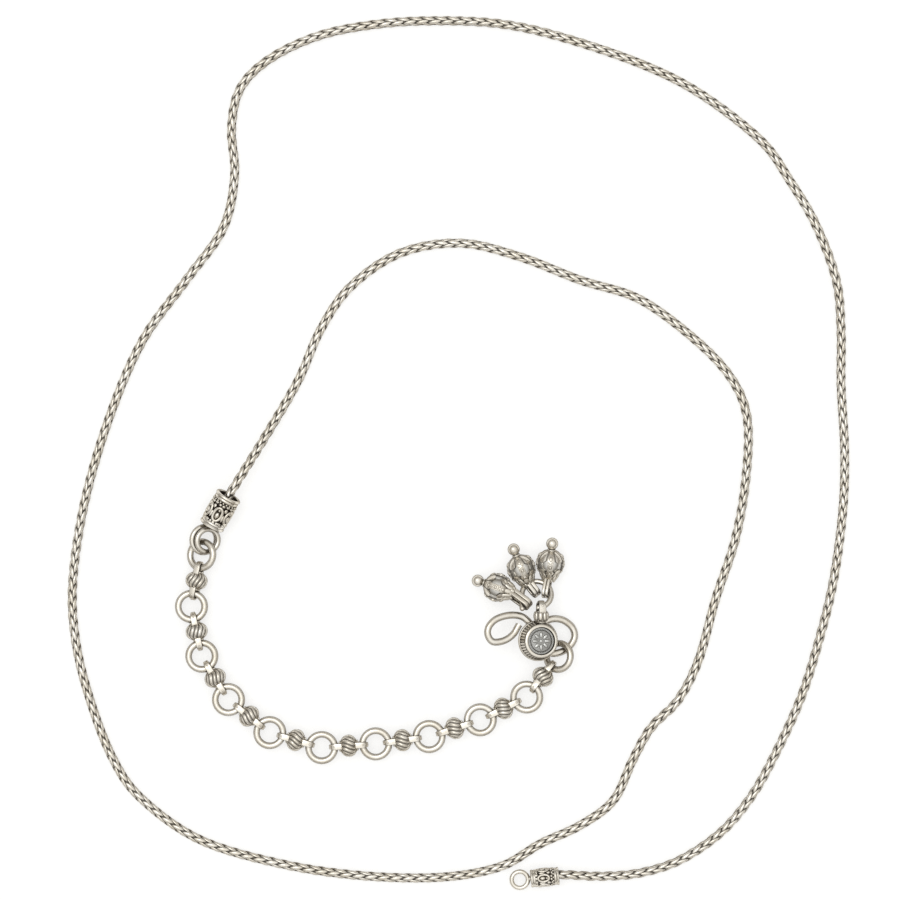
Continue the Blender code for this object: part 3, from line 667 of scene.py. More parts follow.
stitch = join("stitch", [woven_loop(row, STITCH * (0.25 + 0.5 * (row % 2)),
                                    LOOP_LEAN * (1 - 2 * (row % 2))) for row in range(ROWS)])
pick(stitch)
bpy.ops.object.shade_smooth()
print("one stitch has faces:", len(stitch.data.polygons))

# %% Lay the stitches along the route
CORE_RADIUS = 0.00082
CORE_SHADE = 0.85
FINE_POINTS = 720


def route_curve(name, points, turns):
    """A poly curve along the points, with a slow turn about its own line."""
    curve = bpy.data.curves.new(name, "CURVE")
    curve.dimensions = "3D"
    curve.twist_mode = "Z_UP"
    spline = curve.splines.new("POLY")
    spline.points.add(len(points) - 1)
    for point, place, turn in zip(spline.points, points, turns):
        point.co = (*place, 1)
        point.tilt = turn
    return put(name, curve)


WELD = 1e-7


def to_mesh(obj):
    """A curve made a mesh, with its flat ends welded to the tube."""
    pick(obj)
    bpy.ops.object.convert(target="MESH")
    made = bpy.context.object
    edit(made)
    bpy.ops.mesh.remove_doubles(threshold=WELD)
    done()
    return made


def weave(name, points, turns, node):
    """The stitches on one half of the route, round a core painted dark as the shade in the gaps."""
    line = route_curve(name + "_line", points, turns)
    run = length_of(points)
    count = round(run / STITCH)
    rows = copy_at(stitch, Matrix(), name)
    rows.scale = (run / count / STITCH, 1, 1)
    settle_in(rows)
    modify(rows, "ARRAY", count=count, use_relative_offset=False, use_constant_offset=True,
           constant_offset_displace=(run / count, 0, 0))
    modify(rows, "CURVE", object=line, deform_axis="POS_X")
    apply_all(rows)
    nearest = KDTree(len(points))
    for i, point in enumerate(points):
        nearest.insert(point, i)
    nearest.balance()

    def edge(co):
        """Painted shade down the chain's sides: 0 on the upper part, 1 from about the middle down."""
        return (0.60 - (co.z - nearest.find(co)[0].z) / CHAIN_RADIUS) * 2.0

    core = route_curve(name + "_core", points[::2], turns[::2])
    core.data.bevel_depth = CORE_RADIUS
    core.data.bevel_resolution = 1
    core.data.use_fill_caps = True
    core = to_mesh(core)
    # The core is dark all over: painted shade that shows through the gaps between the loops.
    mark_deep(core, lambda co: CORE_SHADE)
    for part in (rows, core):
        mark(part, "side_shade", edge)
    coat("chain", rows, core)
    piece = join(name, [rows, core])
    remove(line)
    hand_over(piece, node)
    print(name, "stitches:", count)


fine_route = chain_route(FINE_POINTS)
fine_turns = []
for i in range(FINE_POINTS):
    share = i / (FINE_POINTS - 1)
    fine_turns.append(0.55 * math.sin(17 * share) + 0.30 * math.sin(41 * share + 1) + 2.2 * share)
half = FINE_POINTS // 2
weave("woven_outer_run", fine_route[: half + 1], fine_turns[: half + 1], "chain_outer_run")
weave("woven_inner_run", fine_route[half:], fine_turns[half:], "chain_inner_run")
remove(stitch)


# %% [markdown]
# ## Turned bodies
# The caps, the drum, the knob and the drops are all round about one line, as if turned on a
# lathe. A circle is added at one end, then extruded and scaled from station to station.

# %% Helpers for turned bodies and for wire
COLLAR_WIRE = 0.00022


def shade(obj, degrees=35):
    """Smooth shading, but with sharp edges where the faces turn by more than this."""
    pick(obj)
    bpy.ops.object.shade_smooth_by_angle(angle=math.radians(degrees))
    return obj


def turned(profile, sides, degrees=35):
    """A closed body turned about local X, from (along, radius) stations."""
    along, radius = profile[0]
    bpy.ops.mesh.primitive_circle_add(vertices=sides, radius=radius, location=(along, 0, 0),
                                      rotation=(0, math.pi / 2, 0))
    body = settle_in(bpy.context.object)
    edit(body)
    for (x0, r0), (x1, r1) in zip(profile, profile[1:]):
        bpy.ops.mesh.extrude_region_move(TRANSFORM_OT_translate={"value": (x1 - x0, 0, 0)})
        bpy.ops.transform.resize(value=(1, r1 / r0, r1 / r0), center_override=(x1, 0, 0))
    bpy.ops.mesh.select_all(action="SELECT")
    bpy.ops.mesh.fill_holes(sides=0)
    bpy.ops.mesh.normals_make_consistent(inside=False)
    done()
    mark_deep(body)
    return shade(body, degrees)


def ring_of_wire(mean_radius, wire_radius, steps, sides):
    bpy.ops.mesh.primitive_torus_add(major_segments=steps, minor_segments=sides,
                                     major_radius=mean_radius, minor_radius=wire_radius)
    return plain(bpy.context.object)


def collar(at, radius, steps):
    """A thin ring of wire round local X."""
    return settle_in(ring_of_wire(radius, COLLAR_WIRE, steps, 8),
                     Matrix.Translation((at, 0, 0)) @ Matrix.Rotation(math.pi / 2, 4, "Y"))


def ball(radius, at=(0, 0, 0), scale=(1, 1, 1), steps=12):
    bpy.ops.mesh.primitive_uv_sphere_add(segments=steps, ring_count=steps // 2 + 1, radius=radius)
    grain = bpy.context.object
    grain.location = at
    grain.scale = scale
    return plain(settle_in(grain))


def wrapped(obj, radius_at):
    """Bends a flat ornament, drawn in X and Y, onto a body turned about local X."""
    for vert in obj.data.vertices:
        x, y, z = vert.co
        radius = radius_at(x)
        angle = y / radius
        vert.co = (x, -(radius + z) * math.sin(angle), (radius + z) * math.cos(angle))
    return obj


def oval(at, half_length, half_width, wire, height, radius_at, steps=20):
    """A raised ring of wire in an oval, laid on a turned body."""
    bpy.ops.mesh.primitive_torus_add(major_segments=steps, minor_segments=7, major_radius=1,
                                     minor_radius=wire)
    ring = bpy.context.object
    for vert in ring.data.vertices:
        x, y, z = vert.co
        reach = math.hypot(x, y)
        out = reach - 1
        x = x / reach * (half_length + out) + at[0]
        y = y / reach * (half_width + out) + at[1]
        vert.co = (x, y, z + height)
    return plain(wrapped(ring, radius_at))


def bead_on(at, radius, scale, height, radius_at, steps=10):
    return wrapped(ball(radius, (at[0], at[1], height), scale, steps), radius_at)


def around(parts, count, turn=0.0):
    """Copies of the parts all the way round local X."""
    copies = []
    for i in range(count):
        spin = Matrix.Rotation(2 * math.pi * i / count + turn, 4, "X")
        copies += [settle_in(copy_at(part, spin)) for part in parts]
    remove(*parts)
    return copies


def between(low, high, share):
    return low + (high - low) * share


print("helpers for turned bodies ready")

# %% [markdown]
# ## Strap eyes
# Each bead, the knob and each drop hang on a strap of sheet silver that is bent round the
# next piece and soldered back. A flat plane is spun half a turn about the bend, run back to
# its root, and given its thickness and soft edges by Solidify and Bevel.

# %% The strap
NEAR = 1e-6


def strap_eye(root, reach, inner, thickness, width, dot=0.0, edge=0.3, taper=0.3):
    """A strap along +X that bends round x = reach and comes back below."""
    level = inner + thickness / 2
    bpy.ops.mesh.primitive_plane_add(size=1, location=((root + reach) / 2, 0, level))
    strap = bpy.context.object
    strap.scale = (reach - root, width, 1)
    settle_in(strap)
    edit(strap)
    choose_edges(strap, lambda e: min(v.co.x for v in e.verts) > reach - NEAR)
    bpy.ops.mesh.spin(steps=12, angle=math.pi, center=(reach, 0, 0), axis=(0, -1, 0))
    bpy.ops.mesh.extrude_region_move(TRANSFORM_OT_translate={"value": (root - reach, 0, 0)})
    bpy.ops.mesh.select_all(action="SELECT")
    bpy.ops.mesh.normals_make_consistent(inside=False)
    done()
    for vert in strap.data.vertices:
        past = max(vert.co.x - reach, 0) / level
        vert.co.y *= 1 - taper * past * past
    modify(strap, "SOLIDIFY", thickness=thickness, offset=0)
    modify(strap, "BEVEL", width=edge * min(thickness, width), segments=3, limit_method="ANGLE",
           angle_limit=math.radians(50))
    apply_all(strap)
    # Painted shade along both edges of the strap.
    mark_deep(strap, lambda co: 0.6 if abs(co.y) > 0.43 * width else 0.0)
    shade(strap, 50)
    parts = [strap]
    if dot:
        parts.append(ball(dot, (reach + 0.25 * level, 0, level + 0.32 * thickness), (1, 1, 0.7)))
    return parts


trial = strap_eye(0.001, 0.003, 0.0011, 0.0004, 0.0014)[0]
print("trial strap in mm:", [round(v / MM, 2) for v in trial.dimensions])
remove(trial)

# %% [markdown]
# ## Rings of the extension
# Eleven rings of thick round wire, bent and soldered by hand, so no two are quite alike. Each
# is a torus whose wire swells and thins a little, with a low solder seam.

# %% Link rings
FULL_TURN = 6.28
SEAM_WIDTH = 0.10
SEAM_HEIGHT = 0.000045
SWELL = 0.016


def link_ring():
    """A ring whose wire is never quite even, with its solder seam."""
    ring = ring_of_wire(RING_MEAN_RADIUS, RING_WIRE / 2, 72, 16)
    swell = luck.uniform(0, FULL_TURN)
    seam = luck.uniform(0, FULL_TURN)
    for vert in ring.data.vertices:
        angle = math.atan2(vert.co.y, vert.co.x)
        line = RING_MEAN_RADIUS * toward(angle)
        away = (angle - seam + math.pi) % (2 * math.pi) - math.pi
        thick = 1 + SWELL * math.sin(3 * angle + swell) - SWELL
        thick += SEAM_HEIGHT / RING_WIRE * 2 * math.exp(-(away / SEAM_WIDTH)**2)
        vert.co = line + (vert.co - line) * min(thick, 1.0)
    return ring


for i, frame_of_ring in enumerate(ring_frames):
    ring = link_ring()
    settle_in(ring, frame_of_ring)
    coat("ring", ring)
    hand_over(join(f"wire_ring_{i + 1:02d}", [ring]), f"link_ring_{i + 1:02d}")

# %% [markdown]
# ## Fluted beads
# Each bead is a melon of fourteen lobes that lean in a gentle S from end to end. On a sphere
# every other meridian is pulled in and the rest pushed out, the rows are turned by their place
# along the bead, and Subdivision Surface rounds the lobes, which takes them back to size. The
# grooves are marked deep, so they stay dark.

# %% One bead, then ten
FLUTES = 14
BEAD_TWIST = math.radians(16)
GROOVE = 0.17
LOBE = 1.17
STRAP_DOT = 0.00022


def fluted_bead():
    """The lobed body, with a collar and a strap eye at both ends."""
    bpy.ops.mesh.primitive_uv_sphere_add(segments=2 * FLUTES, ring_count=14, radius=1,
                                         rotation=(0, math.pi / 2, 0))
    bead = settle_in(bpy.context.object)
    for vert in bead.data.vertices:
        x, y, z = vert.co
        round_ = math.hypot(y, z)
        angle = math.atan2(y, z)
        column = round(angle / (math.pi / FLUTES))
        turn = -BEAD_TWIST * math.sin(math.pi * max(min(x, 0.95), -0.95) / 2 / 0.95)
        reach = BEAD_RADIUS * round_ * (1 - GROOVE if column % 2 else LOBE)
        vert.co = (BEAD_HALF_LENGTH * x, reach * math.sin(angle + turn),
                   reach * math.cos(angle + turn))
    modify(bead, "SUBSURF", levels=1, render_levels=1)
    apply_all(bead)

    def share_of(co):
        x = min(abs(co.x / BEAD_HALF_LENGTH), 0.995)
        return math.hypot(co.y, co.z) / (BEAD_RADIUS * math.sqrt(1 - x * x))

    shares = [share_of(v.co) for v in bead.data.vertices if abs(v.co.x) < 0.3 * BEAD_HALF_LENGTH]
    low, high = min(shares), max(shares)

    def groove(co):
        level = (share_of(co) - low) / (high - low)
        return (0.36 - level) / 0.22 if abs(co.x) < 0.9 * BEAD_HALF_LENGTH else 0.0

    mark_deep(bead, groove)
    pick(bead)
    bpy.ops.object.shade_smooth()
    parts = [bead]
    for side in (0, math.pi):
        end = [collar(0.00198, 0.00105, 20)]
        end += strap_eye(0.4 * BEAD_HALF_LENGTH, EYE_REACH, EYE_INNER_RADIUS, EYE_THICKNESS,
                         EYE_WIDTH, STRAP_DOT)
        parts += [settle_in(part, Matrix.Rotation(side, 4, "Z")) for part in end]
    coat("bead", *parts)
    return join("bead", parts)


bead = fluted_bead()
for i, frame_of_bead in enumerate(bead_frames):
    made = settle_in(copy_at(bead, frame_of_bead, f"melon_bead_{i + 1:02d}"))
    made.data.name = made.name
    hand_over(made, f"fluted_bead_{i + 1:02d}")
remove(bead)


# %% [markdown]
# ## End caps
# The woven ends are soldered into cast cups. Each cup has a double rim at both ends, a row of
# fine grain under the rim, a band of upright ovals with small lumps inside, and a row of
# squares above the foot. The ground between them is blackened, which is why the pattern reads
# so well. The cup is turned with a low ground, and each ornament is made once, bent onto the
# round, and copied about the line of the cup.

# %% A cup with its ornament
MOUTH_SHARE = 0.76
SQUARE_STEP = 0.00085
SQUARE_SIZE = 0.00060
GRAIN_RADIUS = 0.00024
GROUND = 0.90


def cup(length, radius):
    """The turned cup, closed at 0 and open at its length, with a low blackened ground."""
    mouth = MOUTH_SHARE * radius
    bore = CHAIN_RADIUS + CAP_CHAIN_GAP
    floor = length - CAP_SEAT_DEPTH * 0.9
    outside = [
        (0.0, 0.50), (0.002, 0.84), (0.012, 0.93), (0.035, 0.985), (0.060, 0.985),
        (0.082, 0.93), (0.094, 0.915), (0.106, 0.93), (0.125, 0.955), (0.145, 0.955),
        (0.165, 0.92), (0.178, GROUND), (0.50, GROUND), (0.822, GROUND), (0.835, 0.92),
        (0.855, 0.955), (0.875, 0.955), (0.893, 0.93), (0.905, 0.915), (0.918, 0.94),
        (0.940, 1.0), (0.970, 1.0), (0.990, 0.96), (0.998, 0.88), (0.992, 0.80),
    ]
    stations = [(length * x, radius * r) for x, r in outside]
    stations += [(0.96 * length, mouth), (0.85 * length, max(0.9 * mouth, bore)),
                 (floor, bore), (floor, 0.3 * bore)]
    body = turned(stations, 48, 40)

    def ground(co):
        share = co.x / length
        reach = math.hypot(co.y, co.z)
        if reach < 0.79 * radius and share > 0.3:
            return 1.0
        if reach < 0.905 * radius and 0.17 < share < 0.83:
            return 1.0
        rim_line = 0.09 < share < 0.1 or 0.9 < share < 0.91
        return 0.75 if rim_line and reach < 0.925 * radius else 0.0

    mark_deep(body, ground)
    return body


# Lumps of one step of the band: place along in half heights of the oval, place across and size
# in steps, and stretch.
LUMPS = [
    (-0.18, 0.0, 0.165, (1.7, 1, 0.7)), (0.60, 0.02, 0.100, (1.2, 1, 0.8)),
    (1.40, 0.14, 0.140, (0.9, 1, 0.7)), (1.40, -0.15, 0.130, (0.9, 1, 0.7)),
    (-0.30, 0.5, 0.110, (2.9, 1, 0.8)), (0.90, 0.48, 0.135, (1.4, 1, 0.7)),
    (1.50, 0.5, 0.105, (1.0, 1.5, 0.8)), (-1.22, 0.42, 0.135, (0.8, 1.3, 0.7)),
    (-1.34, 0.0, 0.100, (0.8, 1.6, 0.8)),
]


def upright_ovals(length, radius, count, level):
    """The band of ovals with their inner lumps, blobs on their heads and leaves beside them."""
    def ground(_):
        return GROUND * radius
    step = 2 * math.pi * GROUND * radius / count
    middle = 0.455 * length
    tall = 0.195 * length
    parts = [oval((middle, 0), tall, 0.33 * step, 0.115 * step, level, ground)]
    for along, across, size, stretch in LUMPS:
        parts.append(bead_on((middle + along * tall, across * step), size * step, stretch, level,
                             ground))
    return around(parts, count)


def square_row(length, radius, count, place, size, level):
    """A row of small squares with soft edges, standing on the ground."""
    bpy.ops.mesh.primitive_cube_add(size=size)
    block = bpy.context.object
    block.scale = (1.0, 0.82, 0.5)
    settle_in(block)
    modify(block, "BEVEL", width=0.16 * size, segments=2)
    apply_all(block)
    for vert in block.data.vertices:
        vert.co += Vector((place * length, 0, level))
    wrapped(block, lambda _: GROUND * radius)
    mark_deep(block)
    return around([shade(block)], count)


def grain_row(length, radius, count, place, size, level):
    """A row of fine grain, standing on the ground."""
    parts = [bead_on((place * length, 0), size, (1, 1, 0.8), level, lambda _: GROUND * radius, 8)]
    return around(parts, count)


def end_cap(length, radius, ovals):
    """The parts of a cup with all its ornament."""
    level = 0.030 * radius
    parts = [cup(length, radius)]
    parts += upright_ovals(length, radius, ovals, level)
    squares = round(2 * math.pi * radius / SQUARE_STEP)
    parts += square_row(length, radius, squares, 0.205, SQUARE_SIZE, level)
    parts += grain_row(length, radius, squares, 0.795, GRAIN_RADIUS, level)
    coat("cap", *parts)
    return parts


print("cup helpers ready")

# %% The small cap with its end ring
END_RING_MEAN_RADIUS = 0.00185
END_RING_WIRE = 0.00102
END_RING_NECK = 0.0006
NECK_TOP = 0.0008

small_parts = end_cap(SMALL_CAP_LENGTH, SMALL_CAP_RADIUS, 5)
end_ring = ring_of_wire(END_RING_MEAN_RADIUS, END_RING_WIRE / 2, 56, 14)
settle_in(end_ring, Matrix.Translation((-END_RING_MEAN_RADIUS - END_RING_NECK, 0, 0)))
neck_root = END_RING_NECK + 0.0001
neck_radius = 0.48 * END_RING_WIRE
neck = turned([(-neck_root, 0.5 * neck_radius), (-neck_root, neck_radius),
               (NECK_TOP - 0.0001, 1.02 * neck_radius), (NECK_TOP, 0.9 * neck_radius)], 14)
solder = ball(0.00034, (-0.00035, 0.00042, 0.00012), (1.3, 0.8, 0.7))
coat("cap", end_ring, neck, solder)
small_cap = join("chased_small_cap", small_parts + [end_ring, neck, solder])
settle_in(small_cap, placed(SMALL_END, SMALL_HEADING))
hand_over(small_cap, "small_end_cap")

# %% The big cap with its doubled loop
big_parts = end_cap(BIG_CAP_LENGTH, BIG_CAP_RADIUS, 6)
for part in big_parts:
    settle_in(part, placed(BIG_END, BIG_HEADING, BIG_CAP_PITCH))
upper = placed(LOOP_CENTRE, LOOP_AWAY, 0, -LOOP_ROLL)
lower = upper @ Matrix.Translation(SECOND_LOOP_SHIFT)
first_loop = ring_of_wire(LOOP_MEAN_RADIUS, LOOP_WIRE / 2, 64, 14)
second_loop = ring_of_wire(LOOP_MEAN_RADIUS + SECOND_LOOP_GROWTH, LOOP_WIRE / 2, 64, 14)
settle_in(first_loop, upper)
settle_in(second_loop, lower)
stem = turned([(-0.1 * BIG_CAP_LENGTH, 0.4 * LOOP_WIRE), (-0.1 * BIG_CAP_LENGTH, LOOP_WIRE / 2),
               (LOOP_NECK - 0.0001, LOOP_WIRE / 2), (LOOP_NECK, 0.4 * LOOP_WIRE)], 14)
settle_in(stem, placed(BIG_END, LOOP_AWAY))
coat("ring", first_loop, second_loop, stem)
big_cap = join("chased_big_cap", big_parts + [first_loop, second_loop, stem])
hand_over(big_cap, "big_end_cap")


# %% [markdown]
# ## The hook, the drum and the knob
# One thick wire is bent into a flat scroll: the left loop is open and ends beside the drum,
# the right loop takes the last ring. On its middle sits a cast drum with a milled side, a
# bright rim and a black groove, and a petalled knob at its far side carries the drops.

# %% The hook's wire
HOOK_MESH_POINTS = 150
WIRE_ROUNDNESS = 4
WIRE_END = 1.0
WIRE_TO_DRUM = 0.00105

hook_points = smooth_curve([Vector((x * HOOK_SPAN, y * HOOK_DEPTH, 0)) for x, y in HOOK_PATH],
                           HOOK_MESH_POINTS)
hook_tip = hook_points[0] + WIRE_TO_DRUM * (hook_points[0] - hook_points[4]).normalized()
hook_points.insert(0, hook_tip)


def wire_along(name, points, radius, blunt=0.0):
    """A round wire whose ends are filed round, or left blunt at the start."""
    curve = route_curve(name, points, [0.0] * len(points))
    curve.data.bevel_depth = radius
    curve.data.bevel_resolution = WIRE_ROUNDNESS
    curve.data.use_fill_caps = True
    ends = curve.data.splines[0].points
    for i, share in enumerate((0.55, 0.80, 0.94)):
        ends[i].radius = max(share, blunt)
        ends[-1 - i].radius = share
    made = outward(to_mesh(curve))
    mark_deep(made)
    return shade(made, 40)


hook_wire = wire_along("hook_wire", hook_points, HOOK_WIRE / 2, blunt=WIRE_END)
coat("hook", hook_wire)
print("hook wire length in mm:", round(length_of(hook_points) / MM, 1))

# %% The milled drum
TEETH = 40
TOOTH_DEPTH = 0.00018

wall = DRUM_TOP_RADIUS - MEDALLION_RADIUS - MEDALLION_GAP
recess = DRUM_HEIGHT - RECESS_DEPTH
DRUM_SIDE = [     # shares of the height and of the base's radius
    (0.0, 0.90), (0.02, 0.97), (0.06, 1.0), (0.15, 1.0), (0.19, 0.975), (0.21, 0.925),
    (0.25, 0.925), (0.28, 0.955), (0.52, 0.90), (0.76, 0.845), (0.79, 0.80),
]
DRUM_RIM = [(0.83, 0.985), (0.87, 1.02), (0.95, 1.02)]     # and of the top's radius
DRUM_LIP = [(0.995, 0.25), (1.0, 0.5), (0.985, 0.85), (0.94, 1.0)]     # and of the wall, inwards
drum_profile = [(x * DRUM_HEIGHT, r * DRUM_BASE_RADIUS) for x, r in DRUM_SIDE]
drum_profile += [(x * DRUM_HEIGHT, r * DRUM_TOP_RADIUS) for x, r in DRUM_RIM]
drum_profile += [(x * DRUM_HEIGHT, DRUM_TOP_RADIUS - r * wall) for x, r in DRUM_LIP]
drum_profile += [(recess, DRUM_TOP_RADIUS - wall), (recess, 0.2 * DRUM_TOP_RADIUS)]
drum = turned(drum_profile, 2 * TEETH, 30)
for vert in drum.data.vertices:
    share = vert.co.x / DRUM_HEIGHT
    reach = math.hypot(vert.co.y, vert.co.z)
    if 0.26 < share < 0.78 and reach > 0.82 * DRUM_BASE_RADIUS:
        column = round(math.atan2(vert.co.y, vert.co.z) / (math.pi / TEETH))
        if column % 2:
            shrink = 1 - 2 * TOOTH_DEPTH / reach
            vert.co.y *= shrink
            vert.co.z *= shrink


def drum_shadow(co):
    """Black in the recess and between the teeth."""
    share = co.x / DRUM_HEIGHT
    reach = math.hypot(co.y, co.z)
    if share > 0.7 and reach < DRUM_TOP_RADIUS - 0.9 * wall:
        return 1.0
    if 0.2 < share < 0.26 or 0.78 < share < 0.8:
        return 0.9
    limit = DRUM_BASE_RADIUS * (0.955 - (share - 0.28) * 0.23) - TOOTH_DEPTH
    return 0.85 if 0.26 < share < 0.78 and reach < limit else 0.0


mark_deep(drum, drum_shadow)
settle_in(drum, DRUM_FRAME)
coat("milled", drum)

# %% The petalled knob and its eye
PETALS = 8
KNOB_SQUARENESS = 3.4
KNOB_TIP = 1.02
KNOB_CORE = 0.92
PETAL_RISE = 0.00003


def knob_round(x):
    """The radius of the knob's core under its petals."""
    share = min(abs(x) / (KNOB_TIP * KNOB_HALF_LENGTH), 0.985)
    return KNOB_CORE * KNOB_RADIUS * (1 - share**KNOB_SQUARENESS) ** (1 / KNOB_SQUARENESS)


knob_stations = [(-KNOB_NECK, 0.3 * KNOB_RADIUS), (-KNOB_NECK, 0.5 * KNOB_RADIUS)]
for i in range(25):
    x = -math.cos(math.pi * i / 24) * 0.985 * KNOB_HALF_LENGTH
    knob_stations.append((x, knob_round(x)))
knob = turned(knob_stations, 32)
mark_deep(knob, lambda co: 0.6 if abs(co.x) < 0.95 * KNOB_HALF_LENGTH else 0.2)

petal_step = 2 * math.pi * KNOB_RADIUS / PETALS
long_petal = bead_on((0.05 * KNOB_HALF_LENGTH, 0), 0.40 * petal_step, (2.35, 1, 0.55), PETAL_RISE,
                     knob_round, 14)
knob_parts = [knob] + around([long_petal], PETALS, math.pi / PETALS)
knob_parts += around([
    bead_on((x * KNOB_HALF_LENGTH, 0), 0.17 * petal_step, (1, 1, 0.7), PETAL_RISE, knob_round, 8)
    for x in (0.80, -0.80)], PETALS)
knob_parts.append(collar(-0.98 * KNOB_HALF_LENGTH, 0.55 * KNOB_RADIUS, 24))
for part in knob_parts:
    settle_in(part, KNOB_FRAME @ Matrix.Translation((KNOB_REACH, 0, 0)))
knob_parts += [settle_in(part, KNOB_FRAME) for part in strap_eye(
    KNOB_REACH + 0.55 * KNOB_HALF_LENGTH, KNOB_EYE_REACH, DROP_RING_WIRE / 2 + KNOB_EYE_PLAY,
    EYE_THICKNESS, KNOB_EYE_WIDTH, 0.00026)]
coat("hook", *knob_parts)

# %% Join the hook, drum and knob
settle_in(hook_wire, HOOK_FRAME)
hook_piece = join("scroll_hook_and_drum", [hook_wire, drum] + knob_parts)
hand_over(hook_piece, "hook_drum")

# %% [markdown]
# ## The medallion
# A grey disc in the drum's recess. It carries a plain eight-petal rosette with a beaded edge,
# as many such clasps do: flattened spheres laid in a ring, once, and copied round.

# %% Rosette
DISC_FACE = 0.6 * MEDALLION_HEIGHT
EDGE_BEADS = 40
HEART_BEADS = 12

disc = turned([(0.0, 0.97 * MEDALLION_RADIUS), (0.1 * MEDALLION_HEIGHT, MEDALLION_RADIUS)]
              + [(x * DISC_FACE, r * MEDALLION_RADIUS) for x, r in (
                  (0.9, 1.0), (1.0, 0.98), (1.0, 0.90), (0.8, 0.86), (0.8, 0.80), (1.0, 0.76),
                  (1.0, 0.05))], 64, 30)
mark_deep(disc, lambda co: 1.0 if co.x < DISC_FACE * 0.85 else 0.40)


def on_face(radius, reach, stretch=(0.8, 1, 1), steps=8, rise=0.0, angle=0.0):
    """A small ball on the disc's face, stretched, at a distance from the middle."""
    spot = Matrix.Rotation(angle, 4, "X") @ Matrix.Translation((DISC_FACE, 0, reach))
    return settle_in(ball(radius, (rise, 0, 0), stretch, steps), spot)


petal = on_face(0.00040, 0.00140, (0.75, 1.0, 1.85), 14)
vein = on_face(0.00008, 0.00148, (0.8, 0.6, 4.6), rise=0.00018)
tip = on_face(0.00013, 0.00218, angle=math.pi / PETALS)
bud = on_face(0.00018, 0.00150, (0.7, 0.8, 1.4), angle=math.pi / PETALS)
rosette = [disc] + around([petal, vein, tip, bud], PETALS)
rosette += around([on_face(0.00014, 0.00262)], EDGE_BEADS)
rosette.append(on_face(0.00042, 0, (0.5, 1, 1), 16))
rosette += around([on_face(0.00010, 0.00058)], HEART_BEADS)
for part in rosette:
    settle_in(part, MEDALLION_FRAME)
coat("grey", *rosette)
hand_over(join("rosette_medallion", rosette), "medallion")

# %% [markdown]
# ## The drop ring
# An open ring of wire with one long end. It passes through the knob's eye and the three bails.

# %% Drop ring
DROP_RING_MESH_POINTS = 140

drop_ring = wire_along("open_drop_ring", drop_ring_path(DROP_RING_MESH_POINTS), DROP_RING_WIRE / 2)
coat("ring", drop_ring)
hand_over(join("open_drop_ring", [drop_ring]), "drop_ring")

# %% [markdown]
# ## Bud drops
# Each drop is a smooth grey core held by two scalloped caps and four proud straps, with a
# collar and a ball at its tip and a doubled strap for a bail. The core is turned. A cap is a
# turned shell whose lip is pulled into petals, and each strap is a strip bent over the core
# with ovals and dots soldered on.

# %% A drop's body
DROP_CORE_RADIUS = 0.0027
DROP_CAP_RADIUS = 0.0031
DROP_HALF_LENGTH = 0.0031
DROP_TIP_RADIUS = 0.00138
DROP_TIP_REACH = 0.0047
BAIL_INNER_RADIUS = 0.00092
BAIL_ROOT = 0.0003
BAIL_THICKNESS = 0.00065
STRAP_WIDTH = 0.00125
CAP_TOP = 0.985
CAP_LIP = 0.26
CAP_THICKNESS = 0.00034
CORE_END = 0.955
STRAP_LEVEL = 0.00040
STRAP_THICKNESS = 0.00050
LOBES = 8


def core_round(x, grown=0.0):
    """The radius of the core at x, or of what lies that much over it."""
    share = min(abs(x) / (0.97 * DROP_HALF_LENGTH), 0.985)
    return DROP_CORE_RADIUS * math.sqrt(1 - share * share) ** 0.86 + grown


def petal_cap(side):
    """A cap on one end of the core, its lip pulled into petals."""
    stations = []
    for i in range(9):
        x = between(CAP_TOP, CAP_LIP, i / 8) * DROP_HALF_LENGTH
        stations.append((side * x, core_round(x, CAP_THICKNESS)))
    stations.append((side * CAP_LIP * DROP_HALF_LENGTH,
                     core_round(CAP_LIP * DROP_HALF_LENGTH, -0.0002)))
    cap = turned(stations, 8 * LOBES, 40)
    for vert in cap.data.vertices:
        x, y, z = vert.co
        angle = math.atan2(y, z)
        notch = 1 - abs(math.cos(angle * LOBES / 2))
        lipward = max(CAP_TOP - abs(x) / DROP_HALF_LENGTH, 0) / (CAP_TOP - CAP_LIP)
        shrink = 1 - 0.085 * notch**2
        vert.co = (x + side * 0.42 * notch * lipward**2 * 0.5 * DROP_HALF_LENGTH,
                   y * shrink, z * shrink)
    mark_deep(cap, lambda co: 0.9 * (1 - abs(math.cos(math.atan2(co.y, co.z) * LOBES / 2)))**4)
    return cap


def body_strap():
    """One strap from cap to cap on the top of the core, with its ornament."""
    bpy.ops.mesh.primitive_grid_add(x_subdivisions=14, y_subdivisions=4, size=1)
    strip = bpy.context.object
    strip.scale = (1.36 * DROP_HALF_LENGTH, STRAP_WIDTH, 1)
    settle_in(strip)
    for vert in strip.data.vertices:
        vert.co.z = STRAP_LEVEL
    wrapped(strip, core_round)
    modify(strip, "SOLIDIFY", thickness=STRAP_THICKNESS, offset=1)
    modify(strip, "BEVEL", width=0.00006, segments=2, limit_method="ANGLE")
    apply_all(strip)
    outward(strip)
    mark_deep(strip, lambda co: 0.7 if math.hypot(co.y, co.z) < core_round(co.x, CAP_THICKNESS)
              else 0.0)
    half = 0.62 * DROP_HALF_LENGTH
    ornament = STRAP_LEVEL + 0.00004
    parts = [shade(strip),
             oval((0, 0), 0.00072, 0.00044, 0.00013, STRAP_LEVEL + 0.00006, core_round, 16),
             bead_on((0, 0), 0.00026, (1.4, 1, 0.8), ornament, core_round)]
    for x in (-half, half):
        parts.append(bead_on((x, 0), 0.00042, (1.3, 1, 0.6), ornament, core_round))
        for y in (0.00034, -0.00034):
            parts.append(bead_on((0.56 * x, y), 0.00018, (1, 1, 0.9), STRAP_LEVEL, core_round, 8))
    return parts


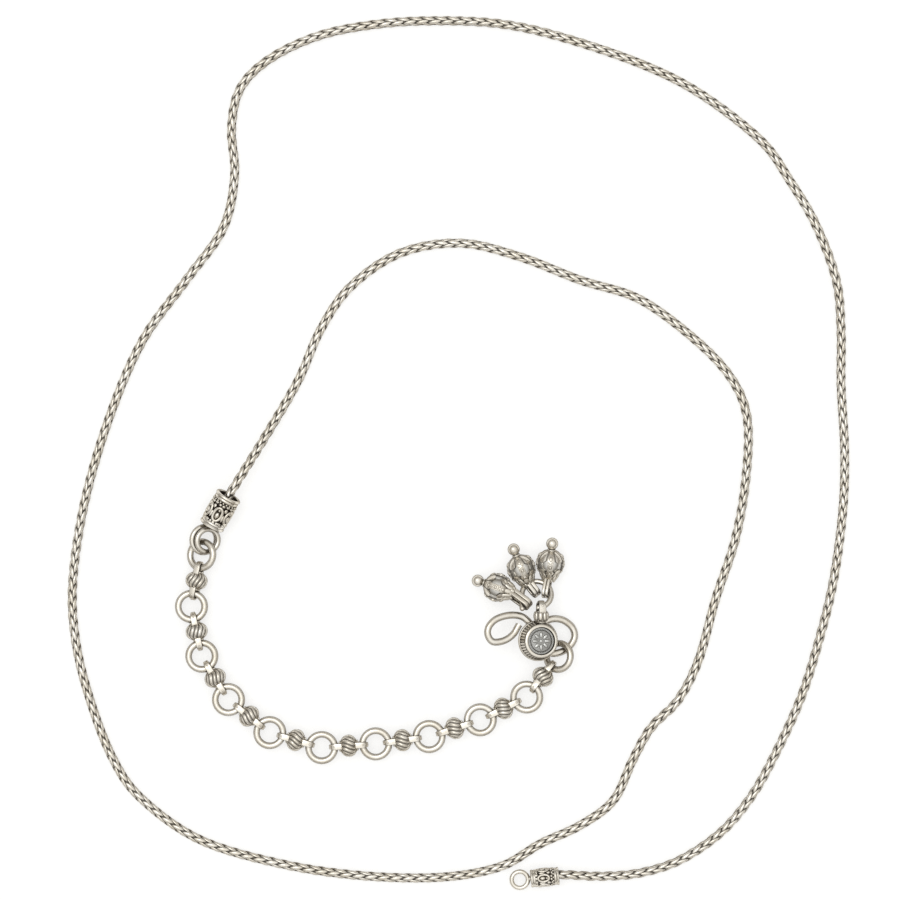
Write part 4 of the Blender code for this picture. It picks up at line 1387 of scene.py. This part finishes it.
LEAF_TURN = math.radians(33)
LEAVES = [     # turns, place along, size, stretch, level and steps
    ((-2, -1, 0, 1, 2), 0.92, 0.00056, (2.0, 1, 0.42), 0.00012, 14),
    ((-1.5, -0.5, 0.5, 1.5), 1.22, 0.00040, (1.3, 1, 0.6), 0.00008, 10),
]


def bail_leaves():
    """Five leaves that fan out over the root of the bail, and four small ones between."""
    def flare(x):
        past = (x - 0.5 * DROP_HALF_LENGTH) / DROP_HALF_LENGTH
        return between(0.00245, 0.00150, min(max(past / 0.75, 0), 1))
    leaves = []
    for turns, along, size, stretch, level, steps in LEAVES:
        for turn in turns:
            leaf = bead_on((along * DROP_HALF_LENGTH, 0), size, stretch, level, flare, steps)
            leaves.append(settle_in(leaf, Matrix.Rotation(LEAF_TURN * turn, 4, "X")))
    return leaves


def drop_body():
    """The core with its caps, straps, leaves, collars and tip, but without the bail."""
    core_end = (CORE_END * DROP_HALF_LENGTH, 0.12 * DROP_CORE_RADIUS)
    core_stations = [(-core_end[0], core_end[1])]
    for i in range(1, 24):
        x = -CORE_END * DROP_HALF_LENGTH * math.cos(math.pi * i / 24)
        core_stations.append((x, core_round(x)))
    core = turned(core_stations + [core_end], 40)
    coat("core", core)
    silver_parts = [petal_cap(1), petal_cap(-1)]
    silver_parts += around(body_strap(), 4)
    silver_parts += bail_leaves()
    silver_parts += [
        turned([(-DROP_TIP_REACH, 0.00050), (-DROP_HALF_LENGTH - 0.0001, 0.00062),
                (-DROP_HALF_LENGTH + 0.0004, 0.00080)], 20),
        collar(-DROP_HALF_LENGTH - 0.00012, 0.00074, 28),
        collar(CAP_TOP * DROP_HALF_LENGTH, 0.00082, 28),
        ball(DROP_TIP_RADIUS, (-DROP_TIP_REACH, 0, 0), (1, 1, 1), 24),
        turned([(0.90 * DROP_HALF_LENGTH, 0.00095), (DROP_HALF_LENGTH, 0.00090),
                (DROP_HALF_LENGTH + 0.0001, 0.0006)], 20),
    ]
    coat("drop", *silver_parts)
    return join("drop_body", [core] + silver_parts)


def bail(reach, width):
    """Two straps side by side, with a groove between them."""
    straps = []
    for side in (-1, 1):
        strap = strap_eye(-BAIL_ROOT, reach, BAIL_INNER_RADIUS, BAIL_THICKNESS, width / 2,
                          edge=0.36, taper=0.0)[0]
        straps.append(settle_in(strap, Matrix.Translation((0, side * width / 4, 0))))
    coat("drop", *straps)
    return straps


# %% Three drops on their bails
# Place from the drop ring's middle in its radii, heading, share of the way along the ring's
# wire, how far below it the drop's end lies, how far the bail reaches past it, and its width.
DROPS = [
    ("left", (-2.68, 0.48), -18.8, 0.13, 0.000988, 0.00087, 0.0020),
    ("middle", (-1.04, 1.78), -68, 0.37, -0.000003, 0.00202, 0.0018),
    ("right", (0.94, 2.15), -95, 0.60, 0.000749, 0.00143, 0.0015),
]
body = drop_body()
ring_path = drop_ring_path(4 * DROP_RING_POINTS)
for name, (x, y), heading, share, below, past, width in DROPS:
    at = round(share * (len(ring_path) - 1))
    spot = DROP_RING_FRAME.translation + DROP_RING_MEAN_RADIUS * Vector((x, y, 0))
    spot.z = DROP_CAP_RADIUS
    pitch = math.asin((ring_path[at].z - below - spot.z) / DROP_HALF_LENGTH)
    drop_frame = placed(spot, math.radians(heading), pitch)
    end = drop_frame @ Vector((DROP_HALF_LENGTH, 0, 0))
    hang = bail_frame(end, ring_path[at], ring_path[at + 1] - ring_path[at - 1])
    distance = (ring_path[at] - end).length
    straps = [settle_in(strap, hang) for strap in bail(distance + past, width)]
    drop = settle_in(copy_at(body, drop_frame, f"petal_drop_{name}"))
    hand_over(join(f"petal_drop_{name}", [drop] + straps), f"bud_drop_{name}")
remove(body)


# %% [markdown]
# ## Floor and light
# A white sheet, and light from a wide soft ceiling: the world itself is bright overhead and
# a quieter warm grey low down, and one large lamp above gives the wires their bright middle
# line. The sheet glows a little, like one on a light table, so the shadows stay faint.

# %% Floor
FLOOR_SIZE = 4.0
FIBRE_SCALE = 900.0
PAPER_GLOW = 0.70

bpy.ops.mesh.primitive_plane_add(size=FLOOR_SIZE, location=(0, 0, 0))
floor = bpy.context.object
floor.name = "paper_floor"
paper = bpy.data.materials.new("white_paper")
paper.use_nodes = True
paper.node_tree.nodes.clear()
wire = Wire(paper.node_tree, None)
paper_place = Wire(paper.node_tree, wire.node("ShaderNodeTexCoord").outputs["Object"])
fibre = wire.out("ShaderNodeTexNoise", Vector=paper_place, Scale=FIBRE_SCALE, Detail=4.0)
fibre = fibre.between(0.3, 0.7)
paper_tone = fibre.blend((0.44, 0.44, 0.437, 1), (0.46, 0.46, 0.457, 1))
paper_light = fibre.blend((0.985, 0.985, 0.98, 1), (1.0, 1.0, 0.995, 1))
sheet = wire.out("ShaderNodeBsdfPrincipled", Base_Color=paper_tone, Roughness=0.9,
                 Specular_IOR_Level=0.0, Emission_Color=paper_light, Emission_Strength=PAPER_GLOW)
wire.node("ShaderNodeOutputMaterial", Surface=sheet)
floor.data.materials.append(paper)
print("floor in m:", FLOOR_SIZE)

# %% Light
SKY_HIGH = (1.08, 1.075, 1.06, 1)
SKY_LOW = (0.20, 0.18, 0.155, 1)
SKY_STRENGTH = 1.0
LAMP_SIZE = 0.9
LAMP_PLACE = (-0.35, 0.30, 1.5)
LAMP_POWER = 2.6

world = bpy.data.worlds.new("soft_ceiling")
bpy.context.scene.world = world
world.use_nodes = True
world.node_tree.nodes.clear()
sky = Wire(world.node_tree, None)
direction = sky.out("ShaderNodeTexCoord", output="Generated")
rise = sky.out("ShaderNodeSeparateXYZ", output=2, Vector=direction).between(0.15, 0.97)
glow = sky.out("ShaderNodeBackground", Color=rise.blend(SKY_LOW, SKY_HIGH), Strength=SKY_STRENGTH)
sky.node("ShaderNodeOutputWorld", Surface=glow)

lamp_data = bpy.data.lights.new("ceiling_lamp", "AREA")
lamp_data.shape = "DISK"
lamp_data.size = LAMP_SIZE
lamp_data.energy = LAMP_POWER
lamp = put("ceiling_lamp", lamp_data, LAMP_PLACE)
lamp.rotation_euler = Vector(LAMP_PLACE).to_track_quat("Z", "Y").to_euler()
bpy.context.scene.view_settings.view_transform = "Standard"
print("lamp in W:", LAMP_POWER)
